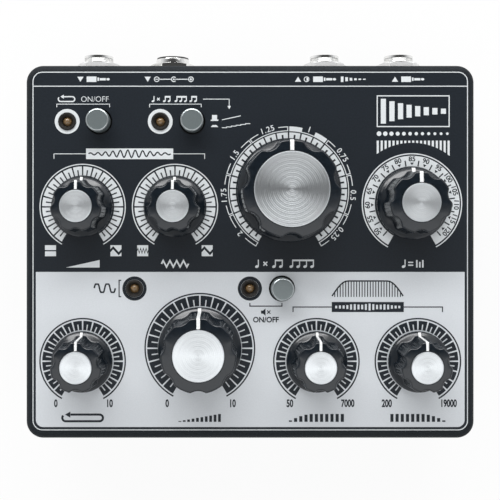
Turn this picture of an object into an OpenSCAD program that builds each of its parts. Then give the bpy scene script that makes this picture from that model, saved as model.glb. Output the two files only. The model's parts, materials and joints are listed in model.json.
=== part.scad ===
// Desktop echo unit: drafted die-cast case, eight skirted knobs, three push buttons, rear sockets

/* [Case] */
// Width of the case at its base
case_w = 145; // [142:1:156]
// Depth of the case at its base
case_d = 121; // [119:1:132]
// Height of the closed case, without its feet
case_h = 39; // [38:0.5:46]
// Inset of the top face on each side, from the casting draft
case_draft = 1; // [0.4:0.1:1.6]
// Radius of the upright corners at the base
corner_r = 6.4; // [5.5:0.1:8]
// Radius of the rounded edge round the top panel
edge_r = 2.2; // [1:0.1:3]
// Thickness of the side walls
wall = 2.2; // [1.8:0.1:2.8]
// Thickness of the top panel
panel_t = 2.5; // [2:0.1:3.2]
// Diameter of the screw bosses inside the case
boss_d = 8; // [7:0.5:9]
// Distance of the screw bosses from the sides
boss_inset = 6.5; // [6:0.1:7]

/* [Base plate] */
// Thickness of the base plate
base_t = 2.5; // [2:0.1:4]
// Height of the locating lip on the base plate
lip_h = 2; // [1:0.1:3]
// Thickness of the locating lip
lip_t = 1.5; // [1:0.1:2]
// Gap between the lip and the case wall
lip_gap = 0.3; // [0.2:0.05:0.5]
// Diameter of the base screws
screw_d = 3.5; // [3:0.1:4]
// Diameter of the base screw heads
screw_head_d = 6.6; // [6:0.1:7.5]
// Length of the base screws
screw_l = 12; // [8:1:16]
// Diameter of the rubber feet
foot_d = 12; // [9:0.5:14]
// Height of the rubber feet
foot_h = 3; // [2:0.5:6]
// Distance of the feet from the sides
foot_inset = 15; // [14:0.5:22]

/* [Panel layout] */
// Column of the depth, feedback and low pass knobs, as a share of the case's width from its middle
outer_column = 0.3675; // [0.355:0.0005:0.375]
// Column of the rate knob, as a share of the case's width from its middle
rate_column = -0.165; // [-0.18:0.0005:-0.15]
// Column of the beat knob, as a share of the case's width from its middle
beat_column = 0.084; // [0.07:0.0005:0.1]
// Column of the tempo knob, as a share of the case's width from its middle
tempo_column = 0.3545; // [0.34:0.0005:0.37]
// Column of the volume knob, as a share of the case's width from its middle
volume_column = -0.1105; // [-0.13:0.0005:-0.09]
// Column of the high pass knob, as a share of the case's width from its middle
high_column = 0.145; // [0.13:0.0005:0.16]
// Column of the loop button, as a share of the case's width from its middle
loop_column = -0.331; // [-0.34:0.0005:-0.32]
// Column of the mode button, as a share of the case's width from its middle
mode_column = -0.127; // [-0.14:0.0005:-0.11]
// Column of the mute button, as a share of the case's width from its middle
mute_column = 0.0695; // [0.06:0.0005:0.085]
// Column of the clip lamp, as a share of the case's width from its middle
clip_column = -0.254; // [-0.265:0.0005:-0.245]
// Column of the input and output jacks, as a share of the case's width from its middle
jack_column = 0.352; // [0.34:0.0005:0.356]
// Column of the power socket and the mix jack, as a share of the case's width from its middle
power_column = 0.178; // [0.17:0.0005:0.2]
// Row of the depth and rate knobs, as a share of the case's depth from its middle
upper_row = 0.1185; // [0.105:0.0005:0.13]
// Row of the beat knob, as a share of the case's depth from its middle
beat_row = 0.1605; // [0.145:0.0005:0.17]
// Row of the tempo knob, as a share of the case's depth from its middle
tempo_row = 0.1275; // [0.115:0.0005:0.14]
// Row of the feedback, high pass and low pass knobs, as a share of the case's depth from its middle
lower_row = -0.287; // [-0.3:0.0005:-0.27]
// Row of the volume knob, as a share of the case's depth from its middle
volume_row = -0.253; // [-0.27:0.0005:-0.245]
// Row of the loop and mode buttons, as a share of the case's depth from its middle
button_row = 0.343; // [0.33:0.0005:0.35]
// Row of the mute button and the clip lamp, as a share of the case's depth from its middle
mute_row = -0.096; // [-0.1:0.0005:-0.08]
// Distance of a lamp from the button it belongs to
lamp_pitch = 10.2; // [9:0.1:11]

/* [Small knobs] */
// Diameter of the skirt
small_skirt_d = 19.3; // [18.5:0.1:20.5]
// Diameter over the lobes, at the skirt
small_lobe_d = 16.4; // [15.4:0.1:17]
// Diameter of the aluminium inlay
small_cap_d = 9.8; // [8.8:0.1:10.2]
// Height of the knob's top above the panel
small_h = 14.9; // [13:0.1:18]
// Radius of each flute
small_flute_r = 3; // [2.4:0.1:3.6]
// Depth of each flute
small_flute_depth = 1; // [0.7:0.1:1.3]

/* [Tempo knob] */
// Diameter of the skirt
tempo_skirt_d = 22.9; // [22:0.1:24.5]
// Diameter over the lobes, at the skirt
tempo_lobe_d = 19.6; // [18.6:0.1:20.4]
// Diameter of the aluminium inlay
tempo_cap_d = 11.8; // [10:0.1:13]
// Height of the knob's top above the panel
tempo_h = 15.5; // [13.5:0.1:18]
// Radius of each flute
tempo_flute_r = 3.6; // [3:0.1:4.2]
// Depth of each flute
tempo_flute_depth = 1; // [0.7:0.1:1.4]

/* [Volume knob] */
// Diameter of the skirt
volume_skirt_d = 26.4; // [25.5:0.1:28]
// Diameter over the lobes, at the skirt
volume_lobe_d = 23.6; // [22:0.1:24.4]
// Diameter of the aluminium inlay
volume_cap_d = 15.6; // [13:0.1:17]
// Height of the knob's top above the panel
volume_h = 18.8; // [15:0.1:22]
// Radius of each flute
volume_flute_r = 4.4; // [3.6:0.1:5]
// Depth of each flute
volume_flute_depth = 0.9; // [0.6:0.1:1.4]

/* [Beat knob] */
// Diameter of the skirt
beat_skirt_d = 32.6; // [32:0.1:34.5]
// Diameter over the lobes, at the skirt
beat_lobe_d = 30.6; // [29:0.1:31.2]
// Diameter of the aluminium inlay
beat_cap_d = 22.9; // [19:0.1:24]
// Height of the knob's top above the panel
beat_h = 16.8; // [14:0.1:20]
// Radius of each flute
beat_flute_r = 4.6; // [4:0.1:5.4]
// Depth of each flute
beat_flute_depth = 1.6; // [1:0.1:2.2]

/* [All knobs] */
// Number of flutes round each knob
flutes = 7; // [5:1:9]
// Gap between a knob and the panel
knob_gap = 0.9; // [0.5:0.1:1]
// Height of the skirt's upright rim
rim_h = 1.5; // [1.3:0.1:1.8]
// Slope of the skirt, from its rim up into the flutes
skirt_slope = 28; // [22:1:34]
// Inward lean of the lobes from skirt to top
lobe_lean = 0.35; // [0:0.05:0.6]
// Radius of the rounded edge round a knob's top
knob_edge_r = 0.6; // [0.3:0.1:0.9]
// Thickness of the inlays
cap_t = 1.4; // [1:0.1:1.8]
// Height of an inlay above the black ring round it
cap_proud = 0.25; // [0.1:0.05:0.5]
// Gap round an inlay in its seat
cap_gap = 0.1; // [0.05:0.05:0.2]
// Width of the pointer line
pointer_w = 0.9; // [0.7:0.1:1.3]
// Depth of the pointer groove
pointer_depth = 0.25; // [0.15:0.05:0.35]
// Thickness of plastic between shaft and inlay
knob_web = 1.4; // [1:0.1:2]

/* [Potentiometers] */
// Width of the housing
pot_w = 9.8; // [9:0.1:11]
// Length of the housing
pot_l = 11.4; // [10.5:0.1:12.5]
// Height of the housing, from board to panel
pot_h = 6.8; // [6.2:0.1:7.6]
// Diameter of the threaded bush
bush_d = 7; // [6.8:0.1:7.4]
// Diameter of the shaft
shaft_d = 6; // [5.6:0.1:6]
// Running clearance round the shaft, on the radius
shaft_gap = 0.05; // [0.02:0.01:0.08]
// Depth of the flat on the shaft
shaft_flat = 1.5; // [1:0.1:2]
// Diameter of the rotor inside the housing
rotor_d = 7.8; // [7.4:0.1:8]
// Thickness of the rotor
rotor_t = 1.4; // [1:0.1:2]
// Width of the panel nut across its flats
nut_w = 10; // [9.5:0.1:10]
// Thickness of the panel nut
nut_t = 1.6; // [1.4:0.1:1.8]
// Diameter of the panel washer
washer_d = 11; // [10.5:0.1:11.4]
// Thickness of the panel washer
washer_t = 0.4; // [0.3:0.1:0.5]
// Height of the bush above its nut
bush_proud = 0.4; // [0.2:0.1:0.5]

/* [Push buttons] */
// Diameter of a button
button_d = 7.2; // [6.6:0.1:7.6]
// Height of a button above the panel
button_h = 5.5; // [4.5:0.1:7]
// Travel of a button
button_travel = 2.5; // [1.5:0.1:2.6]
// Gap between a button and its panel hole, on the radius
button_gap = 0.5; // [0.3:0.05:0.7]
// Width of the square plunger
plunger_w = 3; // [2.6:0.1:3.4]
// Width of the switch housing
switch_w = 8.5; // [8:0.1:9]
// Height of the switch housing above the board
switch_h = 5.7; // [5.4:0.1:6]

/* [Lamps] */
// Diameter of a lamp
lamp_d = 3; // [2.8:0.1:3.2]
// Outer diameter of a lamp clip
clip_d = 5.6; // [5.2:0.1:6.4]
// Height of a lamp clip above the panel
clip_proud = 0.6; // [0.3:0.1:1]

/* [Rear sockets] */
// Depth of the sockets' axis below the panel
socket_drop = 22; // [21.5:0.1:23]
// Reach of the jacks beyond the case
jack_out = 5.4; // [5:0.1:7]
// Bore of a jack for a 6.35 mm plug
jack_bore_d = 6.5; // [6.45:0.05:6.8]
// Diameter of a jack's threaded bush
jack_bush_d = 9.5; // [9:0.1:10]
// Width of a jack nut across its flats
jack_nut_w = 12.7; // [12:0.1:14]
// Thickness of a jack nut
jack_nut_t = 2.2; // [2:0.1:2.6]
// Height of the chamfer on the corners of the rear nuts
nut_chamfer = 0.5; // [0.3:0.1:0.8]
// Chamfer on the front edge of the rear sockets
socket_chamfer = 0.4; // [0.2:0.1:0.6]
// Diameter of a jack washer
jack_washer_d = 14; // [13.5:0.1:15]
// Thickness of a jack washer
jack_washer_t = 0.8; // [0.5:0.1:1]
// Width and height of a jack's housing
jack_body_w = 15; // [14:0.1:16]
// Length of a jack's housing behind the wall
jack_body_l = 22; // [20:0.5:25]
// Reach of the power socket beyond the case
power_out = 4.4; // [4:0.1:5.4]
// Diameter of the power socket's barrel
power_d = 11; // [10.5:0.1:12]
// Bore of the power socket
power_bore_d = 6.2; // [5.8:0.1:6.6]
// Diameter of the power socket's centre pin
power_pin_d = 2.1; // [2:0.1:2.5]
// Length of the power socket behind the wall
power_l = 10; // [8:0.5:14]
// Width of the power socket's nut across its flats
power_nut_w = 14; // [13.5:0.1:15]
// Turn of the power socket's nut
power_nut_turn = 7; // [0:1:30]

/* [Circuit board] */
// Thickness of the board
board_t = 1.6; // [1.2:0.1:2]
// Gap between the board and the screw bosses
board_gap = 0.6; // [0.4:0.1:2]
// Gap between the board and the side walls
board_side = 5.5; // [4:0.1:6]
// Width of the square processor chip
processor_w = 12; // [10:0.5:14]
// Width of the memory chip
memory_w = 8; // [6:0.5:9]
// Length of the memory chip
memory_l = 10; // [8:0.5:11]
// Height of the processor and memory chips
flat_chip_h = 1.6; // [1:0.1:2]
// Length of the amplifier chips
amplifier_l = 18; // [14:0.5:20]
// Width of the amplifier chips
amplifier_w = 6.4; // [6:0.1:7]
// Height of the amplifier chips
amplifier_h = 3.4; // [3:0.1:4]
// Diameter of the capacitors
capacitor_d = 6.3; // [5:0.1:8]
// Height of the capacitors
capacitor_h = 11; // [7:0.5:14]
// Diameter of the wires
wire_d = 1.4; // [1:0.1:1.8]
// Bend radius of the wires
wire_bend = 4; // [3:0.5:5]

/* [Hidden] */
$fn = 64;

// Small sizes that only keep cuts clean and pieces from binding
overcut = 1;
sheet_t = 0.01;
seat_gap = 0.05;
fit_gap = 0.1;

// Heights above the surface that the unit stands on
z_seam = foot_h + base_t;
z_panel = foot_h + case_h;
z_ceiling = z_panel - panel_t;
z_board = z_ceiling - pot_h;
z_solder = z_board - board_t;
z_socket = z_panel - socket_drop;

// The casting's draft: how far its walls have leaned in at height z
lean_h = z_panel - edge_r - z_seam;
function lean(z) = case_draft * (z - z_seam) / lean_h;
function rear_outside(z) = case_d / 2 - lean(z);
function rear_inside(z) = rear_outside(z) - wall;

// Knob sizes: skirt, lobes, inlay, height, flute radius, flute depth
SMALL = [small_skirt_d, small_lobe_d, small_cap_d, small_h, small_flute_r, small_flute_depth];
TEMPO = [tempo_skirt_d, tempo_lobe_d, tempo_cap_d, tempo_h, tempo_flute_r, tempo_flute_depth];
VOLUME = [volume_skirt_d, volume_lobe_d, volume_cap_d, volume_h, volume_flute_r, volume_flute_depth];
BEAT = [beat_skirt_d, beat_lobe_d, beat_cap_d, beat_h, beat_flute_r, beat_flute_depth];
function skirt_r(size) = size[0] / 2;
function lobe_r(size) = size[1] / 2;
function cap_r(size) = size[2] / 2;
function knob_top(size) = size[3];
function flute_r(size) = size[4];
function flute_depth(size) = size[5];
function skirt_z(size, r) = rim_h + (skirt_r(size) - r) * tan(skirt_slope);

// A place on the panel from its column and row
function spot(column, row) = [column * case_w, row * case_d];

// Rotary controls: name, place on the panel, knob size
DIALS = [
    ["depth", spot(-outer_column, upper_row), SMALL],
    ["rate", spot(rate_column, upper_row), SMALL],
    ["beat", spot(beat_column, beat_row), BEAT],
    ["tempo", spot(tempo_column, tempo_row), TEMPO],
    ["feedback", spot(-outer_column, lower_row), SMALL],
    ["volume", spot(volume_column, volume_row), VOLUME],
    ["high_pass", spot(high_column, lower_row), SMALL],
    ["low_pass", spot(outer_column, lower_row), SMALL],
];

// Push buttons: name, place on the panel
BUTTONS = [
    ["loop", spot(loop_column, button_row)],
    ["mode", spot(mode_column, button_row)],
    ["mute", spot(mute_column, mute_row)],
];

// Lamps: one beside each button, and the clip lamp
LAMPS = concat(
    [for (button = BUTTONS) button[1] - [lamp_pitch, 0]],
    [spot(clip_column, mute_row)]
);

// Jacks: name, place along the rear wall
JACKS = [
    ["input", -jack_column * case_w],
    ["mix", power_column * case_w],
    ["output", jack_column * case_w],
];
power_x = -power_column * case_w;

// Potentiometer heights
bush_top = z_panel + washer_t + nut_t + bush_proud;
knob_z = z_panel + knob_gap;
bush_room = 0.3;
nut_room = 0.5;
recess_top = bush_top + bush_room;
recess_r = nut_w / sqrt(3) + nut_room;
rotor_gap = 0.25;
rotor_cover = 1.2;
rotor_top = z_ceiling - rotor_cover;
rotor_room = 4;
pin_d = 0.9;
pin_hole_d = 1.2;
pin_proud = 1.3;
pot_pin_pitch = 2.5;
pot_pin_edge = 1.5;
pot_pins = [for (i = [-1 : 1]) [i * pot_pin_pitch, pot_pin_edge - pot_l / 2]];
function shaft_top(size) = z_panel + knob_top(size) - cap_t - knob_web;

// Push switch heights
switch_pin_pitch = 2;
switch_pin_row = 2.5;
switch_pins = [for (i = [-1 : 1], side = [-1, 1]) [i * switch_pin_pitch, side * switch_pin_row]];
switch_floor_t = 0.6;
stop_gap = 0.4;
button_top = z_panel + button_h;
button_low = z_board + switch_h + button_travel + stop_gap;
button_wall = 1.8;
button_round_r = 0.6;
plunger_low = z_board + switch_floor_t + fit_gap + button_travel;
plunger_top = button_top - button_wall;

// Lamp heights
lamp_collar_d = lamp_d + 0.8;
lamp_collar_t = 1;
lamp_sink = 0.3;
lamp_drop = 1.8;
lamp_top = z_panel + clip_proud - lamp_sink;
lamp_low = z_ceiling - lamp_drop;
lamp_leg_d = 0.5;
lamp_leg_x = 0.9;
lamp_legs = [[-lamp_leg_x, 0], [lamp_leg_x, 0]];
clip_barrel_d = clip_d - 1.2;
clip_chamfer = 0.2;
clip_rim_t = 0.5;
clip_mouth_depth = 0.8;

// Places along the depth of the rear sockets
jack_tip = case_d / 2 + jack_out;
jack_seat = rear_inside(z_socket + jack_body_w / 2) - seat_gap;
jack_back = jack_seat - jack_body_l;
jack_wall = 1.6;
jack_collar_l = 0.9;
jack_thread_depth = 0.25;
washer_seat = rear_outside(z_socket - jack_washer_d / 2) + seat_gap;
nut_seat = washer_seat + jack_washer_t;
power_tip = case_d / 2 + power_out;
power_flange_d = power_d + 2.4;
power_flange_t = 1.2;
power_flange_seat = rear_inside(z_socket + power_flange_d / 2) - seat_gap;
power_back = power_flange_seat - power_l;
power_bore_l = 9.5;
power_floor = power_tip - power_bore_l;
power_nut_t = 2.6;
power_nut_seat = rear_outside(z_socket - power_nut_w / sqrt(3)) + seat_gap;
lug_l = 4;
lug_w = 1.8;
lug_t = 0.5;
lug_spread = 3;

// Circuit board outline and the parts on its lower face
board_w = case_w - 2 * (wall + case_draft + board_side);
board_d = case_d - 2 * (boss_inset + boss_d / 2 + board_gap);
board_r = 2;
boss_x = case_w / 2 - boss_inset;
boss_y = case_d / 2 - boss_inset;
BOSSES = [for (x = [-boss_x, 0, boss_x], y = [-boss_y, boss_y]) [x, y]];
FEET = [for (x = [-1, 1], y = [-1, 1]) [x * (case_w / 2 - foot_inset), y * (case_d / 2 - foot_inset)]];

// Chips: place on the board, size
PROCESSOR = [processor_w, processor_w, flat_chip_h];
MEMORY = [memory_w, memory_l, flat_chip_h];
AMPLIFIER = [amplifier_l, amplifier_w, amplifier_h];
CHIPS = [
    [spot(0.262, -0.066), PROCESSOR],
    [spot(0.379, -0.066), MEMORY],
    [spot(-0.345, -0.008), AMPLIFIER],
    [spot(-0.152, -0.008), AMPLIFIER],
    [spot(0, -0.364), AMPLIFIER],
];
CAPACITORS = [
    spot(-0.262, -0.215),
    spot(-0.2, -0.314),
    spot(-0.007, 0.298),
    spot(0.055, 0.298),
    spot(0.255, -0.347),
    spot(0.255, -0.231),
];

// A rectangle with round corners
module rounded_rectangle(w, d, r) {
    square([w - 2 * r, d], center = true);
    square([w, d - 2 * r], center = true);
    for (x = [-1, 1], y = [-1, 1])
        translate([x * (w / 2 - r), y * (d / 2 - r)])
            circle(r = r);
}

// An upright post with a rounded top edge
module rounded_post(r, h, round_r) {
    rotate_extrude() {
        square([r, h - round_r]);
        square([r - round_r, h]);
        translate([r - round_r, h - round_r])
            circle(r = round_r);
    }
}

// A cylinder that runs towards the rear from a place on the rear wall
module rearward(x, from, to, d) {
    translate([x, from, z_socket])
        rotate([-90, 0, 0])
            cylinder(h = to - from, d = d);
}

// The same with a chamfer round its rear end
module rearward_barrel(x, from, to, d) {
    rearward(x, from, to - socket_chamfer, d);
    translate([x, to - socket_chamfer, z_socket])
        rotate([-90, 0, 0])
            cylinder(h = socket_chamfer, d1 = d, d2 = d - 2 * socket_chamfer);
}

// A hexagonal nut that runs towards the rear, with its outer corners chamfered
module rear_nut(x, from, t, w, hole_d, turn = 0) {
    corners_d = 2 * w / sqrt(3);
    difference() {
        translate([x, from, z_socket])
            rotate([-90, turn, 0])
                intersection() {
                    cylinder(h = t, d = corners_d, $fn = 6);
                    union() {
                        cylinder(h = t - nut_chamfer, d = corners_d + overcut);
                        translate([0, 0, t - nut_chamfer])
                            cylinder(h = nut_chamfer, d1 = corners_d, d2 = w);
                    }
                }
        rearward(x, from - overcut, from + t + overcut, hole_d);
    }
}

// The places of the case's four upright corners
module at_corners() {
    for (x = [-1, 1], y = [-1, 1])
        translate([x * (case_w / 2 - corner_r), y * (case_d / 2 - corner_r), 0])
            children();
}

// The casting's outside, drafted walls with a rounded edge round the panel
module case_outside() {
    top_r = corner_r - case_draft;
    hull()
        at_corners() {
            translate([0, 0, z_seam])
                cylinder(h = sheet_t, r = corner_r, $fn = 48);
            translate([0, 0, z_panel - edge_r])
                rotate_extrude($fn = 48)
                    translate([top_r - edge_r, 0])
                        circle(r = edge_r, $fn = 32);
        }
}

// The room inside the casting, open at the bottom
module case_inside() {
    hull()
        at_corners()
            translate([0, 0, z_seam])
                cylinder(h = z_ceiling - z_seam, r1 = corner_r - wall,
                    r2 = corner_r - wall - lean(z_ceiling), $fn = 32);
    linear_extrude(z_seam)
        rounded_rectangle(case_w - 2 * wall, case_d - 2 * wall, corner_r - wall);
}

module case_shell() {
    color([0.13, 0.14, 0.15])
        difference() {
            case_outside();
            difference() {
                case_inside();
                for (boss = BOSSES)
                    translate([boss[0], boss[1], z_seam])
                        cylinder(h = case_h, d = boss_d);
            }
            for (boss = BOSSES)
                translate([boss[0], boss[1], z_seam - overcut])
                    cylinder(h = screw_l + overcut, d = screw_d + 2 * fit_gap);
            for (dial = DIALS)
                panel_hole(dial[1], bush_d + 2 * fit_gap);
            for (button = BUTTONS)
                panel_hole(button[1], button_d + 2 * button_gap);
            for (lamp = LAMPS)
                panel_hole(lamp, clip_barrel_d + 2 * fit_gap);
            for (jack = JACKS)
                rearward(jack[1], case_d / 2 - 3 * wall, case_d / 2 + overcut, jack_bush_d + 2 * fit_gap);
            rearward(power_x, case_d / 2 - 3 * wall, case_d / 2 + overcut, power_d + 2 * fit_gap);
        }
}

module panel_hole(place, d) {
    translate([place[0], place[1], z_ceiling - overcut])
        cylinder(h = panel_t + 2 * overcut, d = d);
}

module base_plate() {
    inner_w = case_w - 2 * (wall + lip_gap);
    inner_d = case_d - 2 * (wall + lip_gap);
    inner_r = corner_r - wall - lip_gap;
    color([0.13, 0.14, 0.15])
        difference() {
            union() {
                translate([0, 0, foot_h])
                    linear_extrude(base_t)
                        rounded_rectangle(case_w, case_d, corner_r);
                translate([0, 0, z_seam])
                    linear_extrude(lip_h)
                        difference() {
                            rounded_rectangle(inner_w, inner_d, inner_r);
                            rounded_rectangle(inner_w - 2 * lip_t, inner_d - 2 * lip_t, inner_r - lip_t);
                            for (boss = BOSSES)
                                translate(boss)
                                    circle(d = boss_d + 2 * lip_gap);
                        }
            }
            for (boss = BOSSES)
                translate([boss[0], boss[1], foot_h])
                    screw_form(fit_gap);
        }
}

// A countersunk screw, or the room for it when a gap is given
module screw_form(gap) {
    head_h = (screw_head_d - screw_d) / 2;
    translate([0, 0, -gap])
        cylinder(h = gap + head_h, d1 = screw_head_d + 2 * gap, d2 = screw_d + 2 * gap);
    cylinder(h = screw_l, d = screw_d + 2 * gap);
}

module base_screws() {
    slot_w = 1;
    color([0.35, 0.36, 0.38])
        for (boss = BOSSES)
            translate([boss[0], boss[1], foot_h])
                difference() {
                    screw_form(0);
                    for (turn = [0, 90])
                        rotate([0, 0, turn])
                            cube([screw_d, slot_w, 2 * slot_w], center = true);
                }
}

module rubber_feet() {
    chamfer = 0.6;
    color([0.08, 0.08, 0.08])
        for (foot = FEET)
            translate([foot[0], foot[1], 0]) {
                cylinder(h = chamfer, d1 = foot_d - 2 * chamfer, d2 = foot_d);
                translate([0, 0, chamfer])
                    cylinder(h = foot_h - chamfer, d = foot_d);
            }
}

// The knob's skirt, an upright rim under a slope that runs in past the flutes; all of it set in by inset
module knob_skirt(size, inset = 0) {
    rim_r = skirt_r(size) - inset;
    inner_r = lobe_r(size) - 2 * flute_depth(size);
    drop = inset / cos(skirt_slope);
    rotate_extrude()
        polygon([
            [0, 0],
            [rim_r, 0],
            [rim_r, skirt_z(size, rim_r) - drop],
            [inner_r, skirt_z(size, inner_r) - drop],
            [0, skirt_z(size, inner_r) - drop],
        ]);
}

// The round the lobes are cut from, leaning in towards its rounded top edge; all of it set in by inset
module knob_round(size, inset = 0) {
    foot = rim_h / 2;
    top = knob_top(size) - cap_proud - knob_gap;
    top_r = lobe_r(size) - lobe_lean;
    rotate_extrude() {
        polygon([
            [0, foot],
            [lobe_r(size) - inset, foot],
            [top_r - inset, top - knob_edge_r],
            [top_r - knob_edge_r, top - inset],
            [0, top - inset],
        ]);
        translate([top_r - knob_edge_r, top - knob_edge_r])
            circle(r = knob_edge_r - inset);
    }
}

// The scoops between the lobes, leaning with them
module knob_flutes(size) {
    tilt = atan(lobe_lean / knob_top(size));
    for (i = [0 : flutes - 1])
        rotate([0, 0, -90 + i * 360 / flutes])
            translate([lobe_r(size) - flute_depth(size) + flute_r(size), 0, 0])
                rotate([0, -tilt, 0])
                    cylinder(h = knob_top(size) + overcut, r = flute_r(size));
}

// The pointer line's groove, of one depth over the top ring, down a lobe and over the skirt
module pointer_groove(size) {
    difference() {
        translate([-pointer_w / 2, cap_r(size), rim_h - pointer_depth])
            cube([pointer_w, skirt_r(size), knob_top(size)]);
        knob_skirt(size, pointer_depth);
        knob_round(size, pointer_depth);
    }
}

// A skirted knob with its inlay seat, its hollow over the panel nut and its flatted bore
module knob(size) {
    seat = knob_top(size) - knob_gap - cap_t;
    bore_top = shaft_top(size) - knob_z + fit_gap;
    color([0.07, 0.07, 0.08])
        translate([0, 0, knob_z])
            difference() {
                union() {
                    knob_skirt(size);
                    difference() {
                        knob_round(size);
                        knob_flutes(size);
                    }
                }
                pointer_groove(size);
                translate([0, 0, seat])
                    cylinder(h = cap_t + overcut, r = cap_r(size) + cap_gap);
                translate([0, 0, -overcut])
                    cylinder(h = recess_top - knob_z + overcut, r = recess_r);
                flatted_rod(shaft_d + 2 * seat_gap, seat_gap, bore_top);
            }
}

// A round rod with one flat, as a shaft or as the bore for it
module flatted_rod(d, gap, h) {
    linear_extrude(h)
        difference() {
            circle(d = d);
            translate([-shaft_d, shaft_d / 2 - shaft_flat + gap])
                square([2 * shaft_d, shaft_d]);
        }
}

// A spun disc with a chamfered edge
module cap(size) {
    chamfer = 0.2;
    top = z_panel + knob_top(size);
    color([0.8, 0.82, 0.83])
        translate([0, 0, top - cap_t]) {
            cylinder(h = cap_t - chamfer, r = cap_r(size));
            translate([0, 0, cap_t - chamfer])
                cylinder(h = chamfer, r1 = cap_r(size), r2 = cap_r(size) - chamfer);
        }
}

// A potentiometer's shaft, with the rotor that keeps it in its housing
module shaft(size) {
    color([0.62, 0.63, 0.65]) {
        translate([0, 0, rotor_top - rotor_t])
            cylinder(h = rotor_t, d = rotor_d);
        translate([0, 0, rotor_top])
            cylinder(h = bush_top - rotor_top, d = shaft_d);
        translate([0, 0, bush_top])
            flatted_rod(shaft_d, 0, shaft_top(size) - bush_top);
    }
}

// A potentiometer's housing, with its bush through the panel and its three pins through the board
module pot() {
    room_d = rotor_d + 2 * rotor_gap;
    color([0.2, 0.32, 0.22])
        difference() {
            union() {
                translate([-pot_w / 2, -pot_l / 2, z_board])
                    cube([pot_w, pot_l, pot_h]);
                translate([0, 0, z_ceiling])
                    cylinder(h = bush_top - z_ceiling, d = bush_d);
                for (pin = pot_pins)
                    translate([pin[0], pin[1], z_solder - pin_proud])
                        cylinder(h = z_board - z_solder + pin_proud + overcut, d = pin_d);
            }
            translate([0, 0, rotor_top + rotor_gap - rotor_room])
                cylinder(h = rotor_room, d = room_d);
            translate([0, 0, rotor_top])
                cylinder(h = bush_top - rotor_top + overcut, d = shaft_d + 2 * shaft_gap);
        }
}

module panel_nuts() {
    color([0.7, 0.71, 0.72])
        for (dial = DIALS)
            translate([dial[1][0], dial[1][1], z_panel + washer_t])
                difference() {
                    cylinder(h = nut_t, d = 2 * nut_w / sqrt(3), $fn = 6);
                    translate([0, 0, -overcut])
                        cylinder(h = nut_t + 2 * overcut, d = bush_d + 2 * seat_gap);
                }
}

module panel_washers() {
    color([0.7, 0.71, 0.72])
        for (dial = DIALS)
            translate([dial[1][0], dial[1][1], z_panel])
                difference() {
                    cylinder(h = washer_t, d = washer_d);
                    translate([0, 0, -overcut])
                        cylinder(h = washer_t + 2 * overcut, d = bush_d + 2 * fit_gap);
                }
}

// A round push button with a rounded top edge and a square socket for its plunger
module button() {
    socket_w = plunger_w + 2 * seat_gap;
    color([0.42, 0.44, 0.45])
        difference() {
            translate([0, 0, button_low])
                rounded_post(button_d / 2, button_top - button_low, button_round_r);
            translate([-socket_w / 2, -socket_w / 2, button_low - overcut])
                cube([socket_w, socket_w, plunger_top + seat_gap - button_low + overcut]);
        }
}

module plunger() {
    color([0.9, 0.9, 0.86])
        translate([-plunger_w / 2, -plunger_w / 2, plunger_low])
            cube([plunger_w, plunger_w, plunger_top - plunger_low]);
}

// A push switch: square housing with a guide for the plunger and six pins through the board
module switch() {
    guide_w = plunger_w + 2 * fit_gap;
    floor_z = plunger_low - button_travel - fit_gap;
    color([0.16, 0.16, 0.17])
        difference() {
            union() {
                translate([-switch_w / 2, -switch_w / 2, z_board])
                    cube([switch_w, switch_w, switch_h]);
                for (pin = switch_pins)
                    translate([pin[0], pin[1], z_solder - pin_proud])
                        cylinder(h = z_board - z_solder + pin_proud, d = pin_d);
            }
            translate([-guide_w / 2, -guide_w / 2, floor_z])
                cube([guide_w, guide_w, switch_h]);
        }
}

// Dome lamps that stand on the board on two legs
module lamps() {
    r = lamp_d / 2;
    color([0.85, 0.6, 0.3])
        for (lamp = LAMPS)
            translate([lamp[0], lamp[1], 0]) {
                translate([0, 0, lamp_top - r])
                    sphere(r = r);
                translate([0, 0, lamp_low])
                    cylinder(h = lamp_top - r - lamp_low, r = r);
                translate([0, 0, lamp_low])
                    cylinder(h = lamp_collar_t, d = lamp_collar_d);
                for (leg = lamp_legs)
                    translate([leg[0], leg[1], z_solder - pin_proud])
                        cylinder(h = lamp_low - z_solder + pin_proud, d = lamp_leg_d);
            }
}

// Black clips that hold the lamps in the panel, with a mouth that opens towards the top
module lamp_clips() {
    bore_r = lamp_d / 2 + fit_gap;
    barrel_r = clip_barrel_d / 2;
    low = lamp_low + lamp_collar_t + fit_gap;
    rim_r = clip_d / 2;
    rim_z = z_panel + clip_proud;
    color([0.05, 0.05, 0.05])
        for (lamp = LAMPS)
            translate([lamp[0], lamp[1], 0])
                rotate_extrude()
                    polygon([
                        [bore_r, low],
                        [barrel_r, low],
                        [barrel_r, z_panel],
                        [rim_r, z_panel],
                        [rim_r, rim_z - clip_chamfer],
                        [rim_r - clip_chamfer, rim_z],
                        [rim_r - clip_rim_t, rim_z],
                        [bore_r, rim_z - clip_mouth_depth],
                    ]);
}

// A jack: threaded bush through the wall, hollow housing behind it, two lugs for its wires
module jack(x) {
    color([0.75, 0.76, 0.77])
        difference() {
            union() {
                translate([x - jack_body_w / 2, jack_back, z_socket - jack_body_w / 2])
                    cube([jack_body_w, jack_body_l, jack_body_w]);
                rearward(x, jack_seat, jack_tip, jack_bush_d - 2 * jack_thread_depth);
                rearward(x, jack_seat, nut_seat + jack_nut_t, jack_bush_d);
                rearward_barrel(x, jack_tip - jack_collar_l, jack_tip, jack_bush_d);
                lugs(x, jack_back);
            }
            rearward(x, jack_seat - jack_wall, jack_tip + overcut, jack_bore_d);
            rearward(x, jack_back + jack_wall, jack_seat - jack_wall, jack_body_w - 2 * jack_wall);
        }
}

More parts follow.
